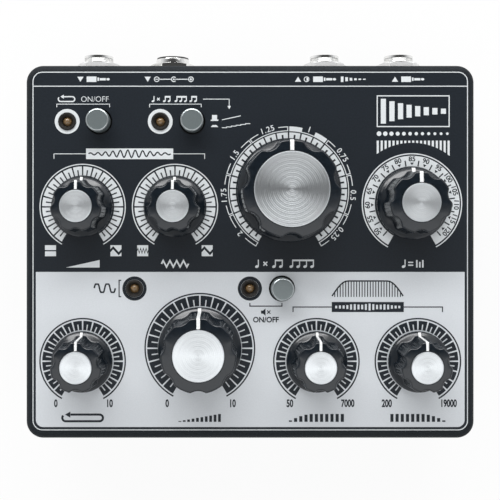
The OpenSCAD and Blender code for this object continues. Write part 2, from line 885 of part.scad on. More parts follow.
// Two flat lugs that stand out of the back of a socket
module lugs(x, back) {
    for (side = [-1, 1])
        translate([x + side * lug_spread - lug_w / 2, back - lug_l, z_socket - lug_t / 2])
            cube([lug_w, lug_l, lug_t]);
}

module jack_nuts() {
    color([0.78, 0.79, 0.8])
        for (jack = JACKS)
            rear_nut(jack[1], nut_seat, jack_nut_t, jack_nut_w, jack_bush_d + 2 * seat_gap);
}

module jack_washers() {
    color([0.7, 0.71, 0.72])
        for (jack = JACKS)
            difference() {
                rearward(jack[1], washer_seat, nut_seat, jack_washer_d);
                rearward(jack[1], washer_seat - overcut, nut_seat + overcut, jack_bush_d + 2 * fit_gap);
            }
}

// A plated barrel power socket with its centre pin
module power_socket() {
    color([0.75, 0.76, 0.77]) {
        difference() {
            union() {
                rearward(power_x, power_flange_seat - power_flange_t, power_flange_seat, power_flange_d);
                rearward_barrel(power_x, power_back, power_tip, power_d);
                lugs(power_x, power_back);
            }
            rearward(power_x, power_floor, power_tip + overcut, power_bore_d);
        }
        rearward(power_x, power_floor - overcut, power_tip - overcut, power_pin_d);
    }
}

module power_nut() {
    color([0.08, 0.08, 0.08])
        rear_nut(power_x, power_nut_seat, power_nut_t, power_nut_w, power_d + 2 * seat_gap, power_nut_turn);
}

module main_board() {
    color([0.05, 0.3, 0.16])
        translate([0, 0, z_solder])
            linear_extrude(board_t)
                difference() {
                    rounded_rectangle(board_w, board_d, board_r);
                    for (dial = DIALS, pin = pot_pins)
                        translate(dial[1] + pin)
                            circle(d = pin_hole_d);
                    for (button = BUTTONS, pin = switch_pins)
                        translate(button[1] + pin)
                            circle(d = pin_hole_d);
                    for (lamp = LAMPS, leg = lamp_legs)
                        translate(lamp + leg)
                            circle(d = pin_hole_d);
                }
}

module chips() {
    color([0.1, 0.1, 0.11])
        for (chip = CHIPS)
            translate([chip[0][0], chip[0][1], z_solder - chip[1][2] / 2])
                cube(chip[1], center = true);
}

module capacitors() {
    round_r = 0.6;
    color([0.1, 0.12, 0.25])
        for (place = CAPACITORS)
            translate([place[0], place[1], z_solder])
                mirror([0, 0, 1])
                    rounded_post(capacitor_d / 2, capacitor_h, round_r);
}

// One wire from a socket's lug, back a little, round a bend and up to the board
module wire(x, back) {
    run = 1.5;
    start = back - lug_l;
    translate([x, start, z_socket])
        rotate([90, 0, 0])
            cylinder(h = run, d = wire_d);
    translate([x, start - run, z_socket + wire_bend])
        rotate([0, 90, 180])
            rotate_extrude(angle = 90)
                translate([wire_bend, 0])
                    circle(d = wire_d);
    translate([x, start - run - wire_bend, z_socket + wire_bend])
        cylinder(h = z_solder - z_socket - wire_bend, d = wire_d);
}

module wiring() {
    color([0.7, 0.1, 0.1])
        for (side = [-lug_spread, lug_spread]) {
            for (jack = JACKS)
                wire(jack[1] + side, jack_back);
            wire(power_x + side, power_back);
        }
}

// The case stands with its rear sockets inside the part's own middle
module in_frame() {
    translate([0, -jack_out / 2, 0])
        children();
}

module on_panel(place) {
    in_frame()
        translate([place[0], place[1], 0])
            children();
}

in_frame() case_shell();
in_frame() base_plate();
in_frame() base_screws();
in_frame() rubber_feet();
in_frame() main_board();
in_frame() chips();
in_frame() capacitors();
in_frame() wiring();
in_frame() lamps();
in_frame() lamp_clips();
in_frame() jack_nuts();
in_frame() jack_washers();
in_frame() power_socket();
in_frame() power_nut();
in_frame() panel_nuts();
in_frame() panel_washers();
for (item = JACKS) {
    in_frame() jack(item[1]);
}
for (dial = DIALS) {
    on_panel(dial[1]) knob(dial[2]);
    on_panel(dial[1]) cap(dial[2]);
    on_panel(dial[1]) shaft(dial[2]);
    on_panel(dial[1]) pot();
}
for (item = BUTTONS) {
    on_panel(item[1]) button();
    on_panel(item[1]) plunger();
    on_panel(item[1]) switch();
}
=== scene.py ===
"""Looks of the desktop echo unit: panel print, knobs, inlays, finishes, light and camera."""
import json
import math

import bmesh
import bpy
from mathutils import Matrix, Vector
from mathutils.geometry import tessellate_polygon


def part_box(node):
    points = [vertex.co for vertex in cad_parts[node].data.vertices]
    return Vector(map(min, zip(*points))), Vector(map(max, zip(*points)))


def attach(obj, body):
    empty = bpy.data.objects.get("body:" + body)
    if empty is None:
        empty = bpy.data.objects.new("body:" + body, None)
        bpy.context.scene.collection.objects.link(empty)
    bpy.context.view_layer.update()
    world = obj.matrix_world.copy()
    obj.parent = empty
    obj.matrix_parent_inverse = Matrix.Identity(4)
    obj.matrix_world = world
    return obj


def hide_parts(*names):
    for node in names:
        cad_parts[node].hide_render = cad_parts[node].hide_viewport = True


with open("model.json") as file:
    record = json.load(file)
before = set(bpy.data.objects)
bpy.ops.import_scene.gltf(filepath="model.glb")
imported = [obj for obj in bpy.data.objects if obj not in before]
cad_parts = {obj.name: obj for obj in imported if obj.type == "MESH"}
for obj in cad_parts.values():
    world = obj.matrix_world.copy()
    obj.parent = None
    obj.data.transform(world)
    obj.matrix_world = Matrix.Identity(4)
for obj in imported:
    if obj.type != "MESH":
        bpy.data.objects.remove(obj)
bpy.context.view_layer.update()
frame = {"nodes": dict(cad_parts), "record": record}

MM = 0.001

# The panel's own frame, in millimetres: x to the right and y to the rear, from the middle of the case
case_low, case_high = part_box("case_shell")
PANEL_Z = case_high.z / MM
MIDDLE = (case_low + case_high) / 2 / MM

DIALS = ("depth", "rate", "beat", "tempo", "feedback", "volume", "high_pass", "low_pass")
BUTTONS = ("loop", "mode", "mute")
JACKS = ("input", "mix", "output")
LAMP_STEP = 10.2
CLIP_LAMP_X = -36.8


def panel_place(node):
    """Middle of a CAD node in the panel's frame."""
    low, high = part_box(node)
    middle = (low + high) / 2 / MM - MIDDLE
    return middle.x, middle.y


def panel_point(x, y, z):
    """A point in the panel's frame, z above the panel, as a place in metres."""
    return Vector((x + MIDDLE.x, y + MIDDLE.y, PANEL_Z + z)) * MM


DIAL_AT = {name: panel_place(f"cap_{name}") for name in DIALS}
BUTTON_AT = {name: panel_place(f"button_{name}") for name in BUTTONS}
LAMP_AT = {name: (x - LAMP_STEP, y) for name, (x, y) in BUTTON_AT.items()}
LAMP_AT["clip"] = (CLIP_LAMP_X, BUTTON_AT["mute"][1])


# Materials

NOISE_DETAIL = 3
NOISE_LOW = 0.3
NOISE_HIGH = 0.7
UNEVEN = 0.05
ALUMINIUM = (0.845, 0.884, 0.91)
QUARTER_TURN = 0.25
NODE_LOOKS = {"jack_nuts": "nickel_satin"}
FINISHES = {}


def tone_ramp(nodes, low, low_color, high, high_color):
    """A colour ramp between two values of its input."""
    ramp = nodes.new("ShaderNodeValToRGB")
    stops = ramp.color_ramp.elements
    stops[0].position = low
    stops[0].color = (*low_color, 1)
    stops[1].position = high
    stops[1].color = (*high_color, 1)
    return ramp


def finish(name, color, roughness, grain, spread=0.1, bump=0.0, metallic=0.0, gloss=0.5):
    """Make and keep a material that varies with noise; grain and bump are in millimetres."""
    made = bpy.data.materials.new(name)
    made.use_nodes = True
    nodes = made.node_tree.nodes
    links = made.node_tree.links
    shader = nodes["Principled BSDF"]
    shader.inputs["Metallic"].default_value = metallic
    shader.inputs["Specular IOR Level"].default_value = gloss
    place = nodes.new("ShaderNodeTexCoord")
    noise = nodes.new("ShaderNodeTexNoise")
    noise.inputs["Scale"].default_value = 1 / (grain * MM)
    noise.inputs["Detail"].default_value = NOISE_DETAIL
    links.new(place.outputs["Object"], noise.inputs["Vector"])
    dark = [c * (1 - spread) for c in color]
    pale = [c * (1 + spread) for c in color]
    ramp = tone_ramp(nodes, NOISE_LOW, dark, NOISE_HIGH, pale)
    links.new(noise.outputs["Fac"], ramp.inputs["Fac"])
    links.new(ramp.outputs["Color"], shader.inputs["Base Color"])
    rough = nodes.new("ShaderNodeMapRange")
    rough.inputs["To Min"].default_value = roughness - UNEVEN
    rough.inputs["To Max"].default_value = roughness + UNEVEN
    links.new(noise.outputs["Fac"], rough.inputs["Value"])
    links.new(rough.outputs["Result"], shader.inputs["Roughness"])
    if bump:
        relief = nodes.new("ShaderNodeBump")
        relief.inputs["Distance"].default_value = bump * MM
        links.new(noise.outputs["Fac"], relief.inputs["Height"])
        links.new(relief.outputs["Normal"], shader.inputs["Normal"])
    FINISHES[name] = made
    return made


def spun_aluminium(name, roughness, stretch):
    """Bright turned metal, whose fine rings stretch each reflection along the radius."""
    made = finish(name, ALUMINIUM, roughness, 0.25, spread=0.05, metallic=1.0)
    nodes = made.node_tree.nodes
    shader = nodes["Principled BSDF"]
    shader.inputs["Anisotropic"].default_value = stretch
    shader.inputs["Anisotropic Rotation"].default_value = QUARTER_TURN
    tangent = nodes.new("ShaderNodeTangent")
    tangent.direction_type = "RADIAL"
    tangent.axis = "Z"
    made.node_tree.links.new(tangent.outputs["Tangent"], shader.inputs["Tangent"])


def amber_lens():
    """Unlit tinted lens, clear enough to look deep."""
    made = finish("lens", (0.27, 0.17, 0.08), 0.2, 0.6, spread=0.5)
    shader = made.node_tree.nodes["Principled BSDF"]
    shader.inputs["Transmission Weight"].default_value = 0.25
    shader.inputs["Coat Weight"].default_value = 0.5


# Colour, roughness and grain of each slot's finish, and what differs from the usual
finish("case_paint", (0.0135, 0.017, 0.0208), 0.6, 0.22, spread=0.6, bump=0.03, gloss=0.17)
finish("knob_plastic", (0.0055, 0.0095, 0.0145), 0.2, 1.5, spread=0.2, bump=0.002, gloss=0.62)
spun_aluminium("spun_aluminium", roughness=0.37, stretch=0.7)
finish("button_plastic", (0.172, 0.2, 0.205), 0.3, 0.2, spread=0.06, bump=0.003, metallic=0.25)
finish("plunger_plastic", (0.75, 0.74, 0.7), 0.5, 0.5)
finish("black_plastic", (0.014, 0.013, 0.012), 0.4, 0.3, spread=0.25, bump=0.01)
finish("pot_plastic", (0.05, 0.11, 0.06), 0.45, 0.5)
amber_lens()
finish("nickel", (0.84, 0.84, 0.83), 0.12, 0.5, spread=0.05, bump=0.001, metallic=1.0)
finish("steel", (0.5, 0.5, 0.5), 0.32, 0.3, spread=0.12, bump=0.004, metallic=1.0)
finish("rubber", (0.016, 0.016, 0.016), 0.8, 0.4, spread=0.3, bump=0.02)
finish("board", (0.01, 0.09, 0.035), 0.35, 1.0, spread=0.2)
finish("chip", (0.015, 0.015, 0.016), 0.55, 0.25, spread=0.2, bump=0.01)
finish("capacitor", (0.02, 0.03, 0.09), 0.3, 1.0, spread=0.15)
finish("wire", (0.35, 0.02, 0.02), 0.5, 0.6, spread=0.15)
finish("silver_print", (0.675, 0.706, 0.738), 0.5, 0.35, spread=0.03)
finish("dark_print", (0.0076, 0.0122, 0.0185), 0.45, 0.5, spread=0.2, bump=0.003, gloss=0.3)
finish("pointer_paint", (0.86, 0.87, 0.87), 0.45, 0.3, spread=0.03)

# Looks of pieces that differ from the rest of their slot
spun_aluminium("spun_aluminium_large", roughness=0.3, stretch=0.8)
finish("silver_print_marks", (0.735, 0.768, 0.786), 0.5, 0.35, spread=0.03)
finish("nickel_satin", (0.92, 0.92, 0.92), 0.45, 0.3, spread=0.05, bump=0.002, metallic=0.5)
# Painted highlight: the button bevels take a lighter, fully metallic finish than the button top, so that
# the rim shows a bright highlight
finish("button_bevel_painted_highlight", (0.5, 0.54, 0.55), 0.3, 0.2, spread=0.05, bump=0.002, metallic=1.0)


def dress(piece, slot, body, look=None):
    """Give a new piece its slot's finish or another look, and the body it moves with."""
    piece.data.materials.clear()
    piece.data.materials.append(FINISHES[look or slot])
    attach(piece, body)
    return piece


def dress_cad_nodes():
    """Every CAD node that stays in view takes the finish that the record names for it."""
    for entry in frame["record"]["subparts"]:
        mesh = frame["nodes"][entry["node"]].data
        mesh.materials.clear()
        mesh.materials.append(FINISHES[NODE_LOOKS.get(entry["node"], entry["material_slot"])])


# Meshes

SHARP_ANGLE = math.radians(38)


def in_scene(name, data):
    """A new object of the scene."""
    made = bpy.data.objects.new(name, data)
    bpy.context.scene.collection.objects.link(made)
    return made


def linked_object(name, mesh):
    """Turn a finished bmesh into an object of the scene."""
    data = bpy.data.meshes.new(name)
    mesh.to_mesh(data)
    mesh.free()
    return in_scene(name, data)


def skin(rows, tube=False):
    """A closed bmesh through rows of points: capped, or a tube whose last row joins its first."""
    mesh = bmesh.new()
    rows = [[mesh.verts.new(point) for point in row] for row in rows]
    following = rows[1:] + rows[:1] if tube else rows[1:]
    for near, far in zip(rows, following):
        for k in range(len(near)):
            j = (k + 1) % len(near)
            mesh.faces.new((near[k], near[j], far[j], far[k]))
    if not tube:
        mesh.faces.new(rows[0][::-1])
        mesh.faces.new(rows[-1])
    bmesh.ops.recalc_face_normals(mesh, faces=mesh.faces[:])
    return mesh


def lathe(name, rings, tube=False):
    """A turned piece through rings of points, smooth except at its sharp edges."""
    made = linked_object(name, skin(rings, tube))
    made.data.shade_smooth()
    made.data.set_sharp_from_angle(angle=SHARP_ANGLE)
    return made


def turned(axis, r, turn, z):
    """A point round an upright axis."""
    return Vector((axis.x + r * math.sin(turn), axis.y + r * math.cos(turn), z)) * MM


def round_node(node):
    """Axis, foot, top and radius of an upright round CAD node, in millimetres."""
    low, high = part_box(node)
    return (low + high) / 2 / MM, low.z / MM, high.z / MM, (high.x - low.x) / 2 / MM


def upright_rings(axis, profile, count):
    """Rings round an upright axis; the profile gives each one's radius and height."""
    turns = [math.tau * k / count for k in range(count)]
    return [[turned(axis, r, turn, z) for turn in turns] for r, z in profile]


# Flat shapes, in millimetres on the panel

MITRE_LIMIT = 0.35


def rectangle(x0, y0, x1, y1):
    return [(x0, y0), (x1, y0), (x1, y1), (x0, y1)]


def polar(centre, r, turn):
    """One point of a dial: degrees clockwise from the rear of the panel."""
    return centre[0] + r * math.sin(math.radians(turn)), centre[1] + r * math.cos(math.radians(turn))


def arc(centre, r, start, end, step=3.0):
    """Points on an arc; angles are in degrees, clockwise from the rear of the panel."""
    count = max(1, math.ceil(abs(end - start) / step))
    return [polar(centre, r, start + (end - start) * k / count) for k in range(count + 1)]


def circle(centre, r, step=5.0):
    return arc(centre, r, 0, 360, step)[:-1]


def band(centre, r0, r1, start, end):
    """Outline of part of a flat ring."""
    return arc(centre, r1, start, end) + arc(centre, r0, end, start)


def rounded(x0, y0, x1, y1, front_r, rear_r):
    """A rectangle with one radius for its front corners and one for its rear corners."""
    corners = (
        (x0 + rear_r, y1 - rear_r, rear_r), (x1 - rear_r, y1 - rear_r, rear_r),
        (x1 - front_r, y0 + front_r, front_r), (x0 + front_r, y0 + front_r, front_r),
    )
    points = []
    for k, (x, y, r) in enumerate(corners):
        points += arc((x, y), r, 90 * k - 90, 90 * k, 10)
    return points


def stroke(points, width):
    """Outline of an open line of one width, with mitred corners."""
    left = []
    right = []
    for k, point in enumerate(points):
        here = Vector(point)
        before = (here - Vector(points[k - 1])).normalized() if k > 0 else None
        after = (Vector(points[k + 1]) - here).normalized() if k + 1 < len(points) else None
        before = before or after
        after = after or before
        across = Vector((-before.y - after.y, before.x + after.x)).normalized()
        reach = width / 2 / max(MITRE_LIMIT, across.dot(Vector((-before.y, before.x))))
        left.append(tuple(here + across * reach))
        right.append(tuple(here - across * reach))
    return left + right[::-1]


def leaned(x, y, u, v, turn):
    """The point u to the right of x, y and v behind it, turned clockwise by turn degrees."""
    sin, cos = math.sin(math.radians(turn)), math.cos(math.radians(turn))
    return x + u * cos + v * sin, y - u * sin + v * cos


def ellipse(x, y, rx, ry, turn):
    count = 24
    steps = [math.tau * k / count for k in range(count)]
    return [leaned(x, y, rx * math.cos(step), ry * math.sin(step), turn) for step in steps]


def zigzag(x0, x1, y, height, cycles):
    """Points of a triangle wave that starts and ends at mid height."""
    span = (x1 - x0) / cycles
    points = [(x0, y)]
    for k in range(cycles):
        points.append((x0 + span * (k + 0.25), y + height / 2))
        points.append((x0 + span * (k + 0.75), y - height / 2))
    return points + [(x1, y)]


def wave(x0, x1, y, height, cycles, count, quiet=1.0, clip=1.0):
    """Points of a sine wave that swells from a quiet share of its height, its tops cut off at clip."""
    points = []
    for k in range(count + 1):
        share = k / count
        swell = quiet + (1 - quiet) * math.sin(math.pi * share) ** 2
        value = swell * math.sin(math.tau * cycles * share) / clip
        points.append((x0 + (x1 - x0) * share, y + height / 2 * max(-1, min(1, value))))
    return points


# Print

INK_T = 0.03
INK_SINK = INK_T / 2
CROSS_LIFT = 0.004
WELD = 1e-7


class Ink:
    """Print of one colour: closed marks of one thickness, as one piece on the panel."""

    def __init__(self, name, slot, layer, look=None):
        self.name = name
        self.slot = slot
        self.look = look
        self.low = layer * INK_T - INK_SINK
        self.high = (layer + 1) * INK_T
        self.mesh = bmesh.new()

    def fill(self, outline, *holes, lift=0.0):
        """A mark with holes; lift keeps its top clear of a mark that it crosses."""
        loops = [outline, *holes]
        flat = [[Vector((x, y, 0)) for x, y in loop] for loop in loops]
        points = [point for loop in flat for point in loop]
        low = [self.mesh.verts.new(panel_point(p.x, p.y, self.low)) for p in points]
        high = [self.mesh.verts.new(panel_point(p.x, p.y, self.high + lift)) for p in points]
        faces = []
        for corners in tessellate_polygon(flat):
            faces.append(self.mesh.faces.new([high[c] for c in corners]))
            faces.append(self.mesh.faces.new([low[c] for c in reversed(corners)]))
        start = 0
        for loop in loops:
            ring = range(start, start + len(loop))
            for i in ring:
                j = i + 1 if i + 1 in ring else start
                faces.append(self.mesh.faces.new((low[i], low[j], high[j], high[i])))
            start += len(loop)
        bmesh.ops.recalc_face_normals(self.mesh, faces=faces)

    def line(self, points, width, lift=0.0):
        self.fill(stroke(points, width), lift=lift)

    def ring(self, centre, r0, r1):
        self.fill(circle(centre, r1), circle(centre, r0))

    def figure(self, text, x, y, height, turn=0.0, squeeze=0.8, bold=0.02, spacing=1.0):
        """Plain figures, their middle at x, y, turned clockwise by turn degrees."""
        curve = bpy.data.curves.new("figure", "FONT")
        curve.body = text
        curve.space_character = spacing
        curve.extrude = 0.5
        curve.offset = bold
        holder = bpy.data.objects.new("figure", curve)
        glyphs = bpy.data.meshes.new_from_object(holder)
        bpy.data.objects.remove(holder)
        places = [v.co.copy() for v in glyphs.vertices]
        lows = [min(p[k] for p in places) for k in range(2)]
        highs = [max(p[k] for p in places) for k in range(2)]
        size = height / (highs[1] - lows[1])
        for vertex, p in zip(glyphs.vertices, places):
            u = (p.x - (lows[0] + highs[0]) / 2) * size * squeeze
            v = (p.y - (lows[1] + highs[1]) / 2) * size
            vertex.co = panel_point(*leaned(x, y, u, v, turn), self.high if p.z > 0 else self.low)
        known = len(self.mesh.verts)
        self.mesh.from_mesh(glyphs)
        bpy.data.meshes.remove(glyphs)
        self.mesh.verts.ensure_lookup_table()
        bmesh.ops.remove_doubles(self.mesh, verts=self.mesh.verts[known:], dist=WELD)

    def piece(self):
        return dress(linked_object(self.name, self.mesh), self.slot, "case", self.look)


# The frame line, the header and the two fields
FRAME_X = 69.2
FRAME_FRONT = -56.7
FRAME_REAR = 57.3
FRAME_R = 3.1
FRAME_LINE = 0.28
HEADER_Y = 52.7
SPLIT_Y = -6.35
SILVER_X = 68.15
SILVER_FRONT = -55.65
SILVER_R = 2.3
SQUARE_R = 0.05

# Openings in the fields, and the rings round the lamps
WASHER_R = 5.7
BUTTON_HOLE_R = 4.15
CLIP_R = 2.82
RING_GAP = 0.06

# Widths of thin lines on the dark half and on the silver half
SILVER_LINE = 0.22
BLACK_LINE = 0.34

# Dials: half of the sweep in degrees, and the block scales
DIAL_SWEEP = 150
SCALE_BLOCKS = 20
BLOCK_GAP = 0.5
NOTCH_DEPTH = 0.62
UPPER_SCALE = dict(r0=10.0, r1=12.85, line_r=13.55, notch_w=0.38, line_w=0.32)
LOWER_SCALE = dict(r0=9.9, r1=12.85, line_r=13.55, notch_w=0.34, line_w=0.45)
VOLUME_SCALE = dict(r0=13.4, r1=16.75, line_r=17.4, notch_w=0.34, line_w=0.45)

# The framed bars at the rear right: left, front, right, rear
BADGE = (40.2, 39.7, 63.4, 49.8)

dark_field = Ink("print_dark_field", "dark_print", 0)
silver_field = Ink("print_silver_field", "silver_print", 1)
silver = Ink("print_silver_marks", "silver_print", 1, "silver_print_marks")
black = Ink("print_black_marks", "dark_print", 2)


def panel_holes(front, rear):
    """Round openings in a field between two places along the panel."""
    holes = [(place, WASHER_R) for place in DIAL_AT.values()]
    holes += [(place, BUTTON_HOLE_R) for place in BUTTON_AT.values()]
    holes += [(place, CLIP_R) for place in LAMP_AT.values()]
    return [circle(place, r) for place, r in holes if front < place[1] < rear]


def print_fields():
    """The dark field with its frame and header lines, and the silver field over its front half."""
    outline = rounded(-FRAME_X, FRAME_FRONT, FRAME_X, FRAME_REAR, FRAME_R, FRAME_R)
    dark_field.fill(outline, *panel_holes(FRAME_FRONT, FRAME_REAR))
    inner_x = FRAME_X - FRAME_LINE
    inner_r = FRAME_R - FRAME_LINE
    inside = rounded(-inner_x, FRAME_FRONT + FRAME_LINE, inner_x, FRAME_REAR - FRAME_LINE, inner_r, inner_r)
    silver.fill(outline, inside)
    silver.line([(-inner_x, HEADER_Y), (inner_x, HEADER_Y)], FRAME_LINE)
    lower = rounded(-SILVER_X, SILVER_FRONT, SILVER_X, SPLIT_Y, SILVER_R, SQUARE_R)
    silver_field.fill(lower, *panel_holes(FRAME_FRONT, SPLIT_Y))


def notched_block(centre, r0, r1, start, end, notch_w):
    """One block of a dial's scale, with a notch cut into the middle of its inner side."""
    middle = (start + end) / 2
    half = math.degrees(notch_w / 2 / r0)
    notch_r = r0 + (r1 - r0) * NOTCH_DEPTH
    outline = arc(centre, r1, start, end)
    outline += arc(centre, r0, end, middle + half)
    outline += arc(centre, notch_r, middle + half, middle - half)
    outline += arc(centre, r0, middle - half, start)
    return outline


def scale_blocks(ink, centre, r0, r1, blocks, notch_w):
    """Notched blocks round a dial, open towards the front."""
    gap = math.degrees(BLOCK_GAP / r1)
    step = 2 * DIAL_SWEEP / blocks
    for k in range(blocks):
        start = -DIAL_SWEEP + k * step + gap / 2
        ink.fill(notched_block(centre, r0, r1, start, start + step - gap, notch_w))


def scale_line(ink, centre, r, width):
    """The thin line round a dial's scale, one degree longer at each end."""
    ink.fill(band(centre, r - width / 2, r + width / 2, -DIAL_SWEEP - 1, DIAL_SWEEP + 1))


def scale(ink, centre, r0, r1, line_r, notch_w, line_w):
    """A dial's block scale inside a thin line."""
    scale_blocks(ink, centre, r0, r1, SCALE_BLOCKS, notch_w)
    scale_line(ink, centre, line_r, line_w)


def beat_scale(centre):
    """The large dial's blocks, with a box over each three that is open round its number."""
    scale_blocks(silver, centre, r0=16.75, r1=18.6, blocks=24, notch_w=0.56)
    values = ("2", "1.75", "1.5", "1.25", "1", "0.75", "0.5", "0.25")
    step = 2 * DIAL_SWEEP / len(values)
    inner, outer = 18.98, 20.5
    number_r, number_h = 20.6, 1.8
    line = 0.27
    edge = 0.75
    longest, per_digit = 12.9, 1.1
    for k, value in enumerate(values):
        start = -DIAL_SWEEP + k * step + edge
        end = start + step - 2 * edge
        middle = (start + end) / 2
        place = polar(centre, number_r, middle)
        silver.figure(value, *place, number_h, turn=middle, squeeze=0.98, bold=0.012, spacing=1.15)
        reach = longest - per_digit * len(value)
        if value == "1":
            silver.fill(band(centre, inner, outer, start, start + reach))
            silver.fill(band(centre, inner, outer, end - reach, end))
            silver.fill(band(centre, inner, inner + line, start + reach, end - reach))
            continue
        base = arc(centre, inner + line / 2, start, end)
        first = arc(centre, outer - line / 2, start + reach, start)
        last = arc(centre, outer - line / 2, end, end - reach)
        silver.line(first + base + last, line)


def tempo_scale(centre):
    """A solid band with numbers, pointers and ticks, inside a thin line."""
    silver.fill(band(centre, 11.8, 15.15, -DIAL_SWEEP, DIAL_SWEEP))
    scale_line(silver, centre, 15.8, 0.36)
    first, last, step = 50, 120, 5
    sweep = 129.0
    count = (last - first) // step
    pitch = 2 * sweep / count
    number_r, number_h = 14.17, 1.6
    tick_r, tick_w = (11.9, 13.75), 0.4
    tip_r, base_r = 12.15, 13.0
    wide = math.degrees(0.56 / base_r)
    for k in range(count + 1):
        turn = -sweep + pitch * k
        number = str(first + step * k)
        black.figure(number, *polar(centre, number_r, turn), number_h, turn=turn, squeeze=1.04, bold=0.022)
        corners = ((tip_r, turn), (base_r, turn + wide), (base_r, turn - wide))
        black.fill([polar(centre, r, corner) for r, corner in corners])
    for k in range(count + 2):
        between = -sweep + pitch * (k - 0.5)
        black.line([polar(centre, r, between) for r in tick_r], tick_w)


# Signs

STEM_HALF = 0.16
PLUG = (
    rectangle(0.0, -1.0, 0.42, 1.0), rectangle(0.46, -0.62, 0.53, 0.62), rectangle(0.56, -0.42, 0.82, 0.42),
    [(0.85, -0.3), (0.94, -0.48), (1.0, 0.0), (0.94, 0.48), (0.85, 0.3)],
)
SPEAKER = [(-1.1, -0.42), (-0.55, -0.42), (0.15, -1.0), (0.15, 1.0), (-0.55, 0.42), (-1.1, 0.42)]


def bracket(ink, x0, x1, y, drop, width):
    """A flat line over a group, with its ends turned towards the group."""
    ink.line([(x0, y + drop), (x0, y), (x1, y), (x1, y + drop)], width)


def heading(ink, box, ends, width, hollows):
    """A box with hollows in it, and lines from its sides that turn down at their ends."""
    left, low, right, high = box
    middle = (low + high) / 2
    drop, clear = 1.6, 0.02
    ink.line([(ends[0], middle - drop), (ends[0], middle), (left - clear, middle)], width)
    ink.line([(right + clear, middle), (ends[1], middle), (ends[1], middle - drop)], width)
    ink.fill(rectangle(*box), *hollows)


def placed(shape, x, y, width, height):
    """A unit shape, scaled and set down at x, y."""
    return [(x + u * width, y + v * height) for u, v in shape]


def triangle(ink, x, y, width, height):
    """A triangle that points to the rear, or to the front when its height is negative."""
    ink.fill(placed([(-0.5, -0.5), (0.5, -0.5), (0.0, 0.5)], x, y, width, height))


def cross(ink, x, y, half, width):
    """A multiplication sign."""
    ink.line([(x - half, y - half), (x + half, y + half)], width)
    ink.line([(x - half, y + half), (x + half, y - half)], width, lift=CROSS_LIFT)


def plug(ink, x0, y, length, height):
    """Side view of a jack plug: sleeve, collar, shaft, and a tip behind a thin gap."""
    for shape in PLUG:
        ink.fill(placed(shape, x0, y, length, height / 2))


def polarity(ink, x0, y, length, height):
    """The usual mark for a barrel plug's polarity: minus outside, plus on the pin."""
    r = height / 2
    line = 0.26
    x1 = x0 + length
    middle = (x0 + x1) / 2
    minus_x, plus_x = x0 + r, x1 - r
    for x in (minus_x, plus_x):
        ink.ring((x, y), r - line, r)
        ink.line([(x - 0.5 * r, y), (x + 0.5 * r, y)], line)
    for near, far in ((0.14, 0.5 * r), (-0.5 * r, -0.14)):
        ink.fill(rectangle(plus_x - line / 2, y + near, plus_x + line / 2, y + far))
    ink.line([(x0 + 2 * r + 0.1, y), (middle - r - 0.05, y)], line)
    ink.line([(middle + 0.5 * r, y), (x1 - 2 * r - 0.1, y)], line)
    ink.fill(circle((middle, y), 0.32 * r))
    ink.line(arc((middle, y), r - 0.14, 130, 410, 12), 0.28)


def half_moon(ink, x, y, r):
    """A ring filled on one side."""
    line, gap = 0.24, 0.1
    ink.ring((x, y), r - line, r)
    ink.fill(arc((x, y), r - line - gap, 0, 180, 10))


def note(ink, x, y, height):
    """A filled note with its stem; x is the stem's place."""
    foot = y - height / 2
    head = height * 0.2
    ink.fill(ellipse(x - head * 0.85, foot + head * 0.8, head * 1.15, head * 0.82, -20))
    ink.fill(rectangle(x - STEM_HALF, foot + head, x + STEM_HALF, y + height / 2), lift=CROSS_LIFT)


def beamed_notes(ink, x0, pitch, count, y, height):
    """Notes that share one beam."""
    for k in range(count):
        note(ink, x0 + pitch * k, y, height)
    x1 = x0 + pitch * (count - 1)
    top = y + height / 2
    ink.fill(rectangle(x0 - STEM_HALF, top - 0.5, x1 + STEM_HALF, top + 0.05), lift=2 * CROSS_LIFT)


def loop_arrow(ink, x0, x1, y, height, width):
    """A long loop whose end turns back as an arrow."""
    r = height / 2 - width / 2
    left = (x0 + height / 2, y)
    right = (x1 - height / 2, y)
    start = left[0] + height * 0.55
    ink.line([(start, y + r)] + arc(right, r, 0, 180, 15) + arc(left, r, 180, 315, 15), width)
    head = height * 0.34
    tip = start - height * 0.62
    back = start - 0.06
    ink.fill([(tip, y + r), (back, y + r - head), (back, y + r + head)], lift=CROSS_LIFT)


def bars(ink, x0, pitch, share, spans):
    """Upright bars at an even pitch, each from one height to another."""
    for k, (low, high) in enumerate(spans):
        x = x0 + pitch * k
        ink.fill(rectangle(x, low, x + pitch * share, high))


def rising_bars(ink, x0, x1, y, height, count):
    """Bars that grow from left to right, on one base line."""
    foot = y - height / 2
    spans = [(foot, foot + height * (k + 1) / count) for k in range(count)]
    bars(ink, x0, (x1 - x0) / count, 0.62, spans)


def fading_bars(ink, x0, x1, y, height, count, fade):
    """Bars that fade away from left to right, as repeats of a sound do."""
    halves = [height / 2 * fade ** k for k in range(count)]
    bars(ink, x0, (x1 - x0) / (count - 0.45), 0.6, [(y - half, y + half) for half in halves])


def response_bars(ink, x, y, width, height, rising):
    """A filter's response as bars that rise to one level, or fall from it."""
    count, knee, share = 11, 5, 0.6
    foot = y - height / 2
    ranks = range(count) if rising else reversed(range(count))
    levels = [height * math.sin(math.pi / 2 * min(1, (rank + 0.6) / knee)) for rank in ranks]
    bars(ink, x - width / 2, width / (count - 1 + share), share, [(foot, foot + level) for level in levels])


def speaker(ink, x, y, height):
    """A loudspeaker with a cross beside it."""
    h = height / 2
    ink.fill(placed(SPEAKER, x, y, h, h))
    cross(ink, x + 1.05 * h, y, 0.45 * h, 0.3)


